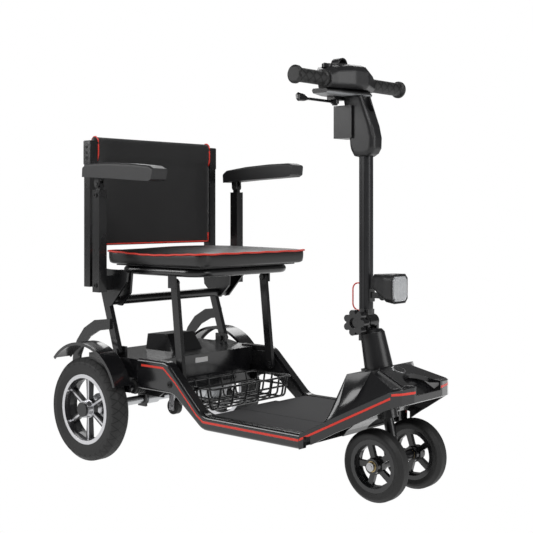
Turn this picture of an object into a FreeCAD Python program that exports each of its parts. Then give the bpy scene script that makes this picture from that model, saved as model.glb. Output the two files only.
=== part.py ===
import FreeCAD, Part
import math
import os
import re

import Sketcher
from FreeCAD import Placement, Rotation, Vector

# A folding four-wheel travel scooter. X points forward, Y to the rider's left and Z up. Heights are
# counted from the ground and lengths from the rear axle; every sub-part is then moved back by
# centre_shift, so that the origin lies on the ground under the middle of the whole scooter.
doc = FreeCAD.newDocument("MobilityScooter")
sheet = doc.addObject("Spreadsheet::Sheet", "Sizes")

SIZES = [
    # whole scooter
    ("centre_shift", 337.75, "rear axle to the middle of the overall length"),
    ("wheelbase", 717.0, "rear axle to front axle"),
    ("running_gap", 0.05, "radial clearance of a pin or shaft that turns"),
    ("seat_gap", 0.3, "clearance between pieces that lie close"),
    # rear wheels
    ("rear_track_half", 228.5, "middle of a rear tyre from the centre plane"),
    ("rear_tyre_radius", 121.5, "rear tyre outside"),
    ("rear_tyre_width", 48.0, "rear tyre widest"),
    ("rear_bead_radius", 82.5, "rear rim outside"),
    ("rear_rim_width", 38.0, "rear rim across the flanges"),
    ("rear_web", 12.0, "thickness of the rear spokes"),
    ("rear_hub_radius", 20.0, "rear hub outside"),
    ("rear_hub_half", 21.0, "half the rear hub length"),
    ("shaft_radius", 6.0, "motor output shaft"),
    # front wheels
    ("front_track_half", 70.2, "middle of a front tyre from the centre plane"),
    ("front_tyre_radius", 74.0, "front tyre outside"),
    ("front_tyre_width", 34.5, "front tyre widest"),
    ("front_bead_radius", 54.0, "front rim outside"),
    ("front_rim_width", 28.0, "front rim across the flanges"),
    ("front_web", 9.0, "thickness of the front spokes"),
    ("front_hub_radius", 16.0, "front hub outside"),
    ("front_hub_half", 16.0, "half the front hub length"),
    ("front_axle_radius", 5.0, "front axle"),
    ("bearing_radius", 11.0, "front wheel bearing outside"),
    ("bearing_width", 8.0, "front wheel bearing"),
    # side rails and floor
    ("rail_outer", 190.0, "outside of a side rail from the centre plane"),
    ("rail_inner", 166.0, "inside of a side rail from the centre plane"),
    ("rail_rear", 125.0, "rear end of the side rails"),
    ("rail_top", 248.0, "top of the side rails at the rear"),
    ("rail_rear_bottom", 178.0, "bottom of the side rails at the rear"),
    ("slope_top_start", 224.0, "where the rail top starts down"),
    ("slope_top_end", 339.0, "where the rail top reaches the floor"),
    ("slope_bottom_start", 243.0, "where the rail bottom starts down"),
    ("slope_bottom_end", 335.0, "where the rail bottom levels out"),
    ("floor_top", 141.0, "top of the side rails along the floor"),
    ("floor_bottom", 110.0, "bottom of the side rails along the floor"),
    ("floor_front", 612.0, "front end of the flat floor"),
    ("rail_bend", 42.0, "bend radius of the rail outline"),
    ("rail_edge", 7.0, "rounding of the rail top"),
    ("plate_inner", 160.5, "inside of the steel side plates"),
    ("deck_top", 137.0, "top of the floor pan"),
    ("deck_bottom", 116.3, "bottom of the floor pan"),
    ("deck_wall", 3.5, "wall of the floor pan"),
    ("mat_thickness", 2.5, "floor mat"),
    ("nose_stripe", 230.0, "top of the stripe round the nose"),
    ("stripe_width", 5.0, "red trim strip"),
    ("stripe_depth", 1.5, "groove of the trim strip"),
    ("stripe_drop", 12.0, "trim strip below the rail top"),
    # rear box
    ("box_rear", -55.0, "rear end of the rear box"),
    ("box_front", 168.0, "front face of the rear box"),
    ("box_half", 188.0, "half width of the rear box"),
    ("box_low_half", 143.7, "half width of the rear box below its overhang"),
    ("box_top", 245.0, "top of the rear box"),
    ("box_shoulder", 200.0, "underside of the rear box overhang"),
    ("box_bottom", 165.0, "bottom of the rear box"),
    ("box_wall", 4.0, "wall of the rear box"),
    ("block_length", 98.0, "raised block on the rear box, along"),
    ("block_half", 52.0, "raised block on the rear box, half across"),
    ("block_height", 42.0, "raised block on the rear box"),
    ("tray_thickness", 4.0, "steel tray under the rear box"),
    # steering
    ("rake", 13.0, "lean of the steering axis"),
    ("stem_radius", 11.0, "steering stem"),
    ("head_low", 91.0, "lower end of the head tube, along the steering axis"),
    ("head_high", 165.0, "upper end of the head tube, along the steering axis"),
    ("head_radius", 22.0, "head tube outside"),
    ("race_height", 6.0, "headset bearing"),
    ("cover_high", 272.0, "upper end of the column cover, along the steering axis"),
    ("cover_radius", 30.0, "column cover at its foot"),
    ("hinge_forward", 646.0, "tiller hinge from the rear axle"),
    ("hinge_height", 356.0, "tiller hinge above the ground"),
    ("hinge_radius", 16.0, "tiller hinge knuckles"),
    ("hinge_half", 20.0, "half the width of the tiller hinge"),
    ("stud_radius", 5.0, "threaded stud of the star knob"),
    # tiller
    ("tube_length", 28.0, "tiller tube, along"),
    ("tube_width", 26.0, "tiller tube, across"),
    ("tube_wall", 2.0, "tiller tube wall"),
    ("tube_bottom", 383.0, "lower end of the tiller tube"),
    ("tube_corner", 10.0, "rounding of the tiller tube"),
    ("tube_forward", 641.0, "middle of the tiller tube from the rear axle"),
    ("tube_top", 752.0, "upper end of the tiller tube"),
    ("neck_bottom", 705.0, "lower end of the tiller neck"),
    ("console_bottom", 836.0, "underside of the console"),
    ("neck_half", 19.0, "half width of the tiller neck"),
    ("bar_forward", 598.0, "handlebar from the rear axle"),
    ("bar_height", 867.4, "handlebar above the ground"),
    ("bar_radius", 11.0, "handlebar tube"),
    ("bar_half", 183.0, "half the handlebar length"),
    ("grip_radius", 14.8, "hand grip"),
    ("console_half", 90.0, "right end of the console from the centre plane"),
    ("console_left", 66.0, "left end of the console from the centre plane"),
    ("lever_forward", 580.0, "throttle lever pivot from the rear axle"),
    ("lever_side", 30.0, "throttle lever pivot from the centre plane"),
    ("lever_reach", 158.0, "throttle paddle end from the centre plane"),
    ("dial_radius", 11.0, "speed dial"),
    # headlight
    ("lamp_pivot_forward", 690.0, "headlight pivot from the rear axle"),
    ("lamp_pivot_height", 412.0, "headlight pivot above the ground"),
    ("lamp_front", 727.0, "front rim of the headlight"),
    ("lamp_half", 29.0, "half width of the headlight"),
    ("lamp_bottom", 398.0, "bottom of the headlight"),
    ("lamp_top", 459.0, "top of the headlight"),
    # seat and its legs
    ("front_leg_side", 152.7, "middle of a front leg from the centre plane"),
    ("front_leg_width", 20.0, "front leg seen from the side"),
    ("front_leg_thickness", 10.0, "front leg across"),
    ("front_foot_x", 235.0, "front leg foot pivot"),
    ("front_foot_z", 207.0, "front leg foot pivot"),
    ("front_top_x", 212.0, "front leg top pivot"),
    ("front_top_z", 425.0, "front leg top pivot"),
    ("rear_leg_side", 181.0, "middle of a rear leg from the centre plane"),
    ("rear_leg_width", 20.0, "rear leg seen from the side"),
    ("rear_leg_thickness", 12.0, "rear leg across"),
    ("rear_foot_x", 46.0, "rear leg foot pivot"),
    ("rear_foot_z", 256.0, "rear leg foot pivot"),
    ("rear_top_x", -3.0, "rear leg top pivot"),
    ("rear_top_z", 405.0, "rear leg top pivot"),
    ("bolt_radius", 4.0, "leg pivot bolts"),
    ("ring_radius", 10.0, "seat frame tube"),
    ("ring_height", 450.0, "seat frame tube above the ground"),
    ("ring_half", 158.0, "seat frame tube from the centre plane"),
    ("ring_rear", 30.0, "rear run of the seat frame"),
    ("ring_front", 290.0, "front run of the seat frame"),
    ("ring_bend", 40.0, "bend of the seat frame"),
    ("pan_thickness", 3.0, "seat pan"),
    ("cushion_rear", -6.0, "rear edge of the seat cushion"),
    ("cushion_front", 334.0, "front edge of the seat cushion"),
    ("cushion_half", 185.0, "half width of the seat cushion"),
    ("cushion_top", 500.0, "top of the seat cushion"),
    ("cushion_corner", 26.0, "corner radius of the seat cushion"),
    ("gusset_inner", 166.0, "gusset plate from the centre plane"),
    ("gusset_thickness", 6.0, "gusset plate"),
    # backrest and armrests
    ("back_pivot_x", 66.0, "backrest pivot from the rear axle"),
    ("back_pivot_z", 436.0, "backrest pivot above the ground"),
    ("back_pin_radius", 5.0, "backrest and armrest pivot pins"),
    ("side_plate", 190.0, "backrest side plate from the centre plane"),
    ("side_plate_thickness", 6.0, "backrest side plate"),
    ("upright_width", 22.0, "back upright across"),
    ("upright_depth", 22.0, "back upright, along"),
    ("upright_rear", -40.0, "rear face of the back uprights"),
    ("upright_bottom", 408.0, "lower end of the back uprights"),
    ("upright_top", 760.0, "upper end of the back uprights"),
    ("sling_half", 192.7, "half width of the back sling"),
    ("sling_bottom", 506.0, "lower edge of the back sling"),
    ("sling_top", 769.0, "upper edge of the back sling"),
    ("sling_thickness", 26.0, "back sling"),
    ("post_inner", 223.0, "armrest post from the centre plane"),
    ("post_width", 23.0, "armrest post across"),
    ("post_depth", 24.5, "armrest post, along"),
    ("post_rear", 30.0, "rear face of the armrest posts"),
    ("post_top", 663.0, "upper end of the armrest posts"),
    ("arm_pivot_z", 653.0, "armrest pivot above the ground"),
    ("arm_width", 46.0, "armrest pad across"),
    ("arm_reach", 212.0, "armrest pad ahead of its pivot"),
    ("arm_offset", 4.5, "armrest pad outboard of its post"),
    ("arm_tilt_right", -3.0, "right armrest, front end up"),
    ("arm_tilt_left", 3.3, "left armrest, front end up"),
    # basket
    ("basket_rear", 190.0, "rear side of the basket rim"),
    ("basket_front", 318.0, "front side of the basket rim"),
    ("basket_half", 138.0, "half width of the basket rim"),
    ("basket_top", 189.0, "basket rim"),
    ("basket_depth", 48.0, "basket rim to basket floor"),
    ("basket_wire", 2.4, "basket wire"),
    # fenders
    ("fender_centre_x", -10.0, "middle of the fender arc from the rear axle"),
    ("fender_centre_z", 143.0, "middle of the fender arc above the ground"),
    ("fender_radius", 136.0, "outside of the fender"),
    ("fender_half", 25.0, "half width of the fender"),
    ("fender_start", 19.0, "angle of the fender's front end"),
    ("fender_sweep", 118.0, "angle that the fender covers"),
]

for row, (name, value, note) in enumerate(SIZES, start=1):
    sheet.set(f"A{row}", name)
    sheet.set(f"B{row}", str(value))
    sheet.set(f"C{row}", note)
    sheet.setAlias(f"B{row}", name)
doc.recompute()

NAMES = {name for name, value, note in SIZES}
parts = {}


def full(text):
    """The expression with the sheet's name in front of each of its aliases."""
    return re.sub(r"[a-z_]+", lambda word: f"Sizes.{word[0]}" if word[0] in NAMES else word[0], str(text))


def number(text):
    """The plain value of an expression."""
    return float(sheet.evalExpression(full(text)))


def bind(thing, prop, text):
    thing.setExpression(prop, full(text))


def keep(label, thing):
    """Name a finished sub-part; its label is also its file's name."""
    thing.Label = label
    parts[label] = thing
    return thing


def locate(thing, x="0", y="0", z="0"):
    """Place something by its distance from the rear axle, the centre plane and the ground."""
    bind(thing, "Placement.Base.x", f"({x}) - centre_shift")
    bind(thing, "Placement.Base.y", y)
    bind(thing, "Placement.Base.z", z)
    return thing


def lean(thing, angle):
    """Tip a thing's own Z axis backwards by an angle."""
    thing.Placement = Placement(Vector(), Rotation(Vector(0, -1, 0), 1))
    bind(thing, "Placement.Rotation.Angle", angle)
    return thing


def box(low, high):
    """A block between two corners, each given as three expressions."""
    thing = doc.addObject("Part::Box", "Block")
    for prop, start, end in zip(("Length", "Width", "Height"), low, high):
        bind(thing, prop, f"({end}) - ({start})")
    return locate(thing, *low)


def cylinder(radius, start, end, x="0", y="0", z="0", along="Y"):
    """A round bar along X, Y or Z, from start to end on that axis."""
    thing = doc.addObject("Part::Cylinder", "Bar")
    bind(thing, "Radius", radius)
    bind(thing, "Height", f"({end}) - ({start})")
    turns = {"X": Rotation(Vector(0, 1, 0), 90), "Y": Rotation(Vector(1, 0, 0), -90), "Z": Rotation()}
    thing.Placement = Placement(Vector(), turns[along])
    place = {"X": (start, y, z), "Y": (x, start, z), "Z": (x, y, start)}[along]
    return locate(thing, *place)


def leaning_cylinder(radius, start, end):
    """A round bar on the steering axis, between two distances from the front axle."""
    thing = doc.addObject("Part::Cylinder", "Bar")
    bind(thing, "Radius", radius)
    bind(thing, "Height", f"({end}) - ({start})")
    lean(thing, "rake")
    return locate(thing, f"wheelbase - ({start}) * sin(rake)", "0", f"front_tyre_radius + ({start}) * cos(rake)")


def fuse(*shapes):
    thing = doc.addObject("Part::MultiFuse", "Union")
    thing.Shapes = list(shapes)
    return thing


def cut(base, *tools):
    thing = doc.addObject("Part::Cut", "Difference")
    thing.Base = base
    thing.Tool = fuse(*tools) if len(tools) > 1 else tools[0]
    return thing


def common(base, tool):
    thing = doc.addObject("Part::Common", "Overlap")
    thing.Base = base
    thing.Tool = tool
    return thing


def mirrored(source):
    """The same piece on the other side of the centre plane."""
    thing = doc.addObject("Part::Mirroring", "Mirror")
    thing.Source = source
    thing.Normal = Vector(0, 1, 0)
    return thing


def pair(label, right):
    """One node that holds a right-hand piece and its mirror image."""
    return keep(label, fuse(right, mirrored(right)))


def both_sides(label, right):
    """Two nodes, a right-hand piece and its mirror image."""
    keep(label + "_right", right)
    keep(label + "_left", mirrored(right))


def new_body(name):
    return doc.addObject("PartDesign::Body", name)


def sketch(body, role, offset="0"):
    """A sketch on one of the body's own planes, moved along that plane's normal."""
    drawing = body.newObject("Sketcher::SketchObject", "Sketch")
    support = [plane for plane in body.Origin.OriginFeatures if plane.Role == role][0]
    drawing.AttachmentSupport = [(support, "")]
    drawing.MapMode = "FlatFace"
    bind(drawing, "AttachmentOffset.Base.z", offset)
    return drawing


def outline(drawing, corners):
    """A closed outline with straight sides; each corner is two expressions."""
    first = drawing.GeometryCount
    points = [Vector(number(x), number(y), 0) for x, y in corners]
    count = len(points)
    for index in range(count):
        drawing.addGeometry(Part.LineSegment(points[index], points[(index + 1) % count]), False)
    for index in range(count):
        line, following = first + index, first + (index + 1) % count
        drawing.addConstraint(Sketcher.Constraint("Coincident", line, 2, following, 1))
    for index, (x, y) in enumerate(corners):
        for kind, text, value in (("DistanceX", x, points[index].x), ("DistanceY", y, points[index].y)):
            constraint = Sketcher.Constraint(kind, -1, 1, first + index, 1, value)
            place = drawing.addConstraint(constraint)
            drawing.setExpression(f"Constraints[{place}]", full(text))
    return drawing


def circle(drawing, x, y, radius):
    ring = drawing.addGeometry(Part.Circle(Vector(number(x), number(y), 0), Vector(0, 0, 1), number(radius)), False)
    for kind, text in (("DistanceX", x), ("DistanceY", y)):
        place = drawing.addConstraint(Sketcher.Constraint(kind, -1, 1, ring, 3, number(text)))
        drawing.setExpression(f"Constraints[{place}]", full(text))
    place = drawing.addConstraint(Sketcher.Constraint("Radius", ring, number(radius)))
    drawing.setExpression(f"Constraints[{place}]", full(radius))
    return drawing


def pad(body, drawing, length, middle=False, taper="0"):
    feature = body.newObject("PartDesign::Pad", "Pad")
    feature.Profile = drawing
    bind(feature, "Length", length)
    bind(feature, "TaperAngle", taper)
    if middle:
        feature.SideType = "Symmetric"
    doc.recompute()
    return feature


def pocket(body, drawing, length=None, middle=False, turned=False):
    """Cut a drawing's shape out of the body, by a depth or right through."""
    before = body.Shape.Volume
    feature = body.newObject("PartDesign::Pocket", "Pocket")
    feature.Profile = drawing
    if length is None:
        feature.Type = "ThroughAll"
    else:
        bind(feature, "Length", length)
    if middle:
        feature.SideType = "Symmetric"
    feature.Reversed = turned
    doc.recompute()
    if not body.Shape.Volume < before:
        raise ValueError(f"a pocket of {body.Name} cuts nothing")
    return feature


def revolve(body, drawing, angle="360", axis="H_Axis"):
    feature = body.newObject("PartDesign::Revolution", "Revolution")
    feature.Profile = drawing
    feature.ReferenceAxis = (drawing, [axis])
    bind(feature, "Angle", angle)
    doc.recompute()
    return feature


def around(body, feature, plane_drawing, count, axis="N_Axis"):
    """Repeat a feature round the normal of a sketch."""
    pattern = body.newObject("PartDesign::PolarPattern", "PolarPattern")
    pattern.Originals = [feature]
    pattern.Axis = (plane_drawing, [axis])
    pattern.Angle = 360
    pattern.Occurrences = count
    body.Tip = pattern
    doc.recompute()
    return pattern


def rounded(body, feature, radius, test):
    """Round the edges whose middle passes a test, in the body's own coordinates."""
    edges = []
    for index, edge in enumerate(feature.Shape.Edges, start=1):
        if test(edge, edge.valueAt((edge.FirstParameter + edge.LastParameter) / 2)):
            edges.append(f"Edge{index}")
    if not edges:
        raise ValueError(f"no edge to round on {body.Name}")
    fillet = body.newObject("PartDesign::Fillet", "Fillet")
    fillet.Base = (feature, edges)
    bind(fillet, "Radius", radius)
    doc.recompute()
    return fillet


def upright_edge(edge):
    return abs(edge.tangentAt(edge.FirstParameter).z) > 0.999 and edge.Curve.TypeId == "Part::GeomLine"


def cross_edge(edge):
    return abs(edge.tangentAt(edge.FirstParameter).y) > 0.999 and edge.Curve.TypeId == "Part::GeomLine"


def near(value, text, within=0.1):
    return abs(value - number(text)) < within


def bent_wire(points, bend):
    """A path of straight runs joined by tangent arcs, through points in millimetres."""
    edges = []
    start = points[0]
    for before, corner, after in zip(points, points[1:], points[2:]):
        incoming = (corner - before).normalize()
        outgoing = (after - corner).normalize()
        turn = incoming.getAngle(outgoing)
        reach = bend * math.tan(turn / 2)
        into, out = corner - incoming * reach, corner + outgoing * reach
        inward = (outgoing - incoming).normalize()
        middle = corner + inward * bend * (1 / math.cos(turn / 2) - 1)
        edges.append(Part.LineSegment(start, into).toShape())
        edges.append(Part.Arc(into, middle, out).toShape())
        start = out
    edges.append(Part.LineSegment(start, points[-1]).toShape())
    return Part.Wire(edges)


def bar_along(wire, radius):
    """A round bar swept along a wire."""
    first = wire.Edges[0]
    section = Part.Wire(Part.makeCircle(radius, first.valueAt(first.FirstParameter), first.tangentAt(first.FirstParameter)))
    return wire.makePipeShell([section], True, False)


def feature(shape):
    """A document object for a swept shape, moved back by centre_shift."""
    thing = doc.addObject("Part::Feature", "Swept")
    thing.Shape = shape
    return locate(thing)


def link(foot_x, foot_z, top_x, top_z, width, side, thickness, bore):
    """A right-hand bar with round ends between two pivots, bored for both bolts."""
    length = f"sqrt((({top_x}) - ({foot_x}))^2 + (({top_z}) - ({foot_z}))^2)"
    blank = doc.addObject("Part::Box", "Block")
    bind(blank, "Length", width)
    bind(blank, "Width", thickness)
    bind(blank, "Height", length)
    angle = f"atan((({foot_x}) - ({top_x})) / (({top_z}) - ({foot_z})))"
    lean(blank, angle)
    low, high = f"-({side}) - ({thickness}) / 2", f"-({side}) + ({thickness}) / 2"
    locate(blank, f"({foot_x}) - ({width}) / 2 * cos({angle})", low, f"({foot_z}) - ({width}) / 2 * sin({angle})")
    ends = [cylinder(f"({width}) / 2", low, high, x, "0", z) for x, z in ((foot_x, foot_z), (top_x, top_z))]
    bores = [cylinder(bore, f"({low}) - 1", f"({high}) + 1", x, "0", z) for x, z in ((foot_x, foot_z), (top_x, top_z))]
    return cut(fuse(blank, *ends), *bores)


def wheel_disc(name, bead, rim_width, web, hub, hub_half, bore, count, spoke):
    """An open spoked rim that turns round its own Y axis."""
    body = new_body(name)
    ring = f"({bead}) - running_gap"
    well = f"({bead}) - 9"
    profile = sketch(body, "XY_Plane")
    outline(profile, [
        (bore, f"-({hub_half})"), (hub, f"-({hub_half})"), (hub, f"-({web}) / 2"), (well, f"-({web}) / 2"),
        (well, f"-({rim_width}) / 2"), (ring, f"-({rim_width}) / 2"), (ring, f"({rim_width}) / 2"),
        (well, f"({rim_width}) / 2"), (well, f"({web}) / 2"), (hub, f"({web}) / 2"),
        (hub, hub_half), (bore, hub_half),
    ])
    revolve(body, profile, "360", "V_Axis")
    window = sketch(body, "XZ_Plane")
    inner, outer = f"({hub}) + 3", f"({well}) - 3"
    half_turn = 180 / count
    outline(window, [
        (f"({inner}) * cos({half_turn} - {spoke} / 2) ", f"-({inner}) * sin({half_turn} - {spoke} / 2)"),
        (f"({outer}) * cos({half_turn} - {spoke} / 4)", f"-({outer}) * sin({half_turn} - {spoke} / 4)"),
        (f"({outer})", "0"),
        (f"({outer}) * cos({half_turn} - {spoke} / 4)", f"({outer}) * sin({half_turn} - {spoke} / 4)"),
        (f"({inner}) * cos({half_turn} - {spoke} / 2)", f"({inner}) * sin({half_turn} - {spoke} / 2)"),
    ])
    cut_out = pocket(body, window, f"({web}) * 3", middle=True)
    around(body, cut_out, window, count)
    return body


def tyre(name, bead, radius, width, rim_width):
    """A solid tyre of rounded section that turns round its own Y axis."""
    body = new_body(name)
    profile = sketch(body, "XY_Plane")
    outline(profile, [
        (bead, f"-({rim_width}) / 2"), (f"({bead}) * 0.6 + ({radius}) * 0.4", f"-({width}) / 2"),
        (f"({radius}) - ({width}) * 0.22", f"-({width}) / 2"), (radius, f"-({width}) * 0.26"),
        (radius, f"({width}) * 0.26"), (f"({radius}) - ({width}) * 0.22", f"({width}) / 2"),
        (f"({bead}) * 0.6 + ({radius}) * 0.4", f"({width}) / 2"), (bead, f"({rim_width}) / 2"),
    ])
    turned = revolve(body, profile, "360", "V_Axis")
    shoulder = f"({width}) * 0.12"
    rounded(body, turned, shoulder, lambda edge, mid: edge.Curve.TypeId == "Part::GeomCircle"
            and edge.Curve.Radius > number(bead) + 1)
    return body


# ---- rear wheels -----------------------------------------------------------------------------------

rear_rim = wheel_disc("RearRim", "rear_bead_radius", "rear_rim_width", "rear_web", "rear_hub_radius",
                      "rear_hub_half", "shaft_radius + running_gap", 6, 24)
locate(rear_rim, "0", "-rear_track_half", "rear_tyre_radius")
hub_end = "-rear_track_half - rear_hub_half"
hub_cap = cylinder("rear_hub_radius - 3", f"{hub_end} - 4.5", hub_end, "0", "0", "rear_tyre_radius")
both_sides("rear_rim", fuse(rear_rim, hub_cap))
rear_tyre = tyre("RearTyre", "rear_bead_radius", "rear_tyre_radius", "rear_tyre_width", "rear_rim_width")
locate(rear_tyre, "0", "-rear_track_half", "rear_tyre_radius")
both_sides("rear_tyre", rear_tyre)

# ---- front wheels ----------------------------------------------------------------------------------

front_rim = wheel_disc("FrontRim", "front_bead_radius", "front_rim_width", "front_web", "front_hub_radius",
                       "front_hub_half", "bearing_radius + running_gap", 5, 34)
locate(front_rim, "wheelbase", "-front_track_half", "front_tyre_radius")
both_sides("front_rim", front_rim)
front_tyre = tyre("FrontTyre", "front_bead_radius", "front_tyre_radius", "front_tyre_width", "front_rim_width")
locate(front_tyre, "wheelbase", "-front_track_half", "front_tyre_radius")
both_sides("front_tyre", front_tyre)


def on_front_axle(radius, start, end):
    return cylinder(radius, start, end, "wheelbase", "0", "front_tyre_radius")


bearings = []
for start in ("-front_track_half - front_hub_half", "-front_track_half + front_hub_half - bearing_width"):
    outer = on_front_axle("bearing_radius", start, f"({start}) + bearing_width")
    bore = on_front_axle("front_axle_radius + running_gap", f"({start}) - 1", f"({start}) + bearing_width + 1")
    bearings.append(cut(outer, bore))
pair("front_bearings", fuse(*bearings))

axle_end = "front_track_half + front_hub_half"
keep("front_axle", fuse(
    on_front_axle("front_axle_radius", f"-({axle_end}) - 7", f"{axle_end} + 7"),
    on_front_axle("front_axle_radius + 4", f"-({axle_end}) - 6", f"-({axle_end}) - seat_gap"),
    on_front_axle("front_axle_radius + 4", f"{axle_end} + seat_gap", f"{axle_end} + 6"),
))

# ---- steering column -------------------------------------------------------------------------------

ear_inner = "hinge_half - 8"
fork_tube = on_front_axle("stem_radius", "-(front_track_half - front_hub_half - 0.5)",
                          "front_track_half - front_hub_half - 0.5")
stem = leaning_cylinder("stem_radius", "0", "262")
ear_block = box(("hinge_forward - 10", "-hinge_half", "hinge_height - 40"),
                ("hinge_forward + 14", "hinge_half", "hinge_height"))
ear_round = cylinder("hinge_radius - 1", "-hinge_half", "hinge_half", "hinge_forward", "0", "hinge_height")
knuckle_room = box(("hinge_forward - 40", f"-({ear_inner})", "hinge_height - hinge_radius - 1.5"),
                   ("hinge_forward + 40", ear_inner, "hinge_height + 40"))
hinge_bore = cylinder("stud_radius + running_gap", "-60", "60", "hinge_forward", "0", "hinge_height")
axle_bore = on_front_axle("front_axle_radius + running_gap", "-60", "60")
keep("steering_fork", cut(fuse(fork_tube, stem, ear_block, ear_round), knuckle_room, hinge_bore, axle_bore))

cover = new_body("ColumnCover")
profile = sketch(cover, "XZ_Plane")
outline(profile, [
    ("stem_radius + seat_gap", "0"), ("cover_radius", "0"), ("cover_radius", "22"),
    ("cover_radius - 4", "cover_high - 181"), ("cover_radius - 9", "cover_high - 174"),
    ("stem_radius + seat_gap", "cover_high - 172"),
])
revolve(cover, profile, "360", "V_Axis")
lean(cover, "rake")
locate(cover, "wheelbase - 173 * sin(rake)", "0", "front_tyre_radius + 173 * cos(rake)")
cover_room = box(("hinge_forward - 11", "-hinge_half - seat_gap", "hinge_height - 40 - seat_gap"),
                 ("hinge_forward + 15", "hinge_half + seat_gap", "hinge_height + 20"))
fold_room = cylinder("hinge_radius + 1.5", "-hinge_half - 2", "hinge_half + 2", "hinge_forward", "0", "hinge_height")
keep("column_cover", cut(cover, cover_room, fold_room))

races = []
for start in ("head_low - race_height", "head_high"):
    outer = leaning_cylinder("head_radius", start, f"({start}) + race_height")
    bore = leaning_cylinder("stem_radius + running_gap", f"({start}) - 1", f"({start}) + race_height + 1")
    races.append(cut(outer, bore))
keep("headset_bearings", fuse(*races))

# ---- star knob on the tiller hinge -----------------------------------------------------------------

knob = new_body("StarKnob")
face = sketch(knob, "XZ_Plane", "hinge_half + 14")
circle(face, "0", "0", "20")
pad(knob, face, "17")
lobe = sketch(knob, "XZ_Plane", "hinge_half + 14")
circle(lobe, "20", "0", "7.5")
around(knob, pad(knob, lobe, "17"), lobe, 7)
hub = sketch(knob, "XZ_Plane", "hinge_half + seat_gap")
circle(hub, "0", "0", "11")
pad(knob, hub, "14")
recess = sketch(knob, "XZ_Plane", "hinge_half + 31")
circle(recess, "0", "0", "11")
pocket(knob, recess, "5")
locate(knob, "hinge_forward", "0", "hinge_height")
keep("star_knob", fuse(
    knob,
    cylinder("stud_radius", "-hinge_half - 24", "hinge_half + 9", "hinge_forward", "0", "hinge_height"),
    cylinder("stud_radius + 4", "hinge_half + seat_gap", "hinge_half + 7", "hinge_forward", "0", "hinge_height"),
))

# ---- tiller ----------------------------------------------------------------------------------------


def tube_solid(name, length, width, corner, low, high):
    """An upright bar of rounded rectangular section on the tiller's line."""
    body = new_body(name)
    section = sketch(body, "XY_Plane")
    half_x, half_y = f"({length}) / 2", f"({width}) / 2"
    outline(section, [
        (f"-{half_x}", f"-{half_y}"), (half_x, f"-{half_y}"), (half_x, half_y), (f"-{half_x}", half_y),
    ])
    rounded(body, pad(body, section, f"({high}) - ({low})"), corner, lambda edge, mid: upright_edge(edge))
    return locate(body, "tube_forward", "0", low)


tube = tube_solid("TillerTube", "tube_length", "tube_width", "tube_corner", "tube_bottom", "tube_top")
tube_hollow = tube_solid("TillerTubeHollow", "tube_length - 2 * tube_wall", "tube_width - 2 * tube_wall",
                         "tube_corner - tube_wall", "tube_bottom - 1", "tube_top + 1")
latch_slots = [
    cylinder("6", "tube_forward - tube_length", "tube_forward - 4", "0", "0", f"{height} + {shift}", "X")
    for height in (645, 690) for shift in (-5, 5)
]
latch_middles = [
    box(("tube_forward - tube_length", "-6", f"{height} - 5"), ("tube_forward - 4", "6", f"{height} + 5"))
    for height in (645, 690)
]
keep("tiller_tube", cut(tube, tube_hollow, *latch_slots, *latch_middles))

knuckle_half = f"({ear_inner}) - seat_gap"
knuckle = fuse(
    cylinder("hinge_radius", f"-({knuckle_half})", knuckle_half, "hinge_forward", "0", "hinge_height"),
    box(("hinge_forward - 14", f"-({knuckle_half})", "hinge_height"),
        ("hinge_forward + 8", knuckle_half, "tube_bottom - 1")),
    tube_solid("KnucklePlug", "tube_length - 2 * tube_wall - 0.2", "tube_width - 2 * tube_wall - 0.2",
               "tube_corner - tube_wall", "tube_bottom", "tube_bottom + 30"),
    tube_solid("KnuckleCollar", "tube_length", "tube_width", "tube_corner", "tube_bottom - 9", "tube_bottom"),
)
keep("tiller_knuckle", cut(knuckle, hinge_bore))

cable_points = [
    Vector(number("tube_forward - tube_length / 2") - 0.3, 0, 436), Vector(606, 0, 436), Vector(606, 0, 378),
    Vector(number("tube_forward - tube_length / 2") - 0.3, 0, 378),
]
keep("tiller_cable", feature(bar_along(bent_wire(cable_points, 14), 1.5)))

# ---- headlight -------------------------------------------------------------------------------------


def station(x, corners):
    """A closed outline across the scooter at a distance from the rear axle."""
    drawing = doc.addObject("Sketcher::SketchObject", "Station")
    drawing.Placement = Placement(Vector(), Rotation(Vector(1, 1, 1), 120))
    locate(drawing, x)
    outline(drawing, corners)
    return drawing


def loft(stations):
    thing = doc.addObject("Part::Loft", "Loft")
    thing.Sections = stations
    thing.Solid = True
    thing.Ruled = True
    return thing


def lamp_section(x, half, low, high, corner):
    return station(x, [
        (f"-({half})", f"({low}) + {corner}"), (f"-({half}) + {corner}", low), (f"({half}) - {corner}", low),
        (half, f"({low}) + {corner}"), (half, f"({high}) - {corner}"), (f"({half}) - {corner}", high),
        (f"-({half}) + {corner}", high), (f"-({half})", f"({high}) - {corner}"),
    ])


lamp_body = loft([
    lamp_section("lamp_front - 60", "13", "lamp_bottom + 26", "lamp_top - 2", 6),
    lamp_section("lamp_front - 22", "lamp_half - 3", "lamp_bottom + 3", "lamp_top", 8),
    lamp_section("lamp_front", "lamp_half", "lamp_bottom", "lamp_top", 9),
])
lamp_room = lamp_section("lamp_front + 1", "lamp_half - 3", "lamp_bottom + 3", "lamp_top - 3", 8)
lamp_hollow = loft([
    lamp_section("lamp_front - 20", "lamp_half - 6", "lamp_bottom + 6", "lamp_top - 4", 8), lamp_room,
])
lamp_slot = box(("lamp_pivot_forward - 40", "-5.5", "lamp_pivot_height - 30"),
                ("lamp_pivot_forward + 12", "5.5", "lamp_pivot_height + 13"))
lamp_ears = fuse(*[
    cylinder("9", start, f"{start} + 6", "lamp_pivot_forward", "0", "lamp_pivot_height") for start in ("-11.5", "5.5")
])
lamp_bore = cylinder("3 + running_gap", "-40", "40", "lamp_pivot_forward", "0", "lamp_pivot_height")
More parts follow.
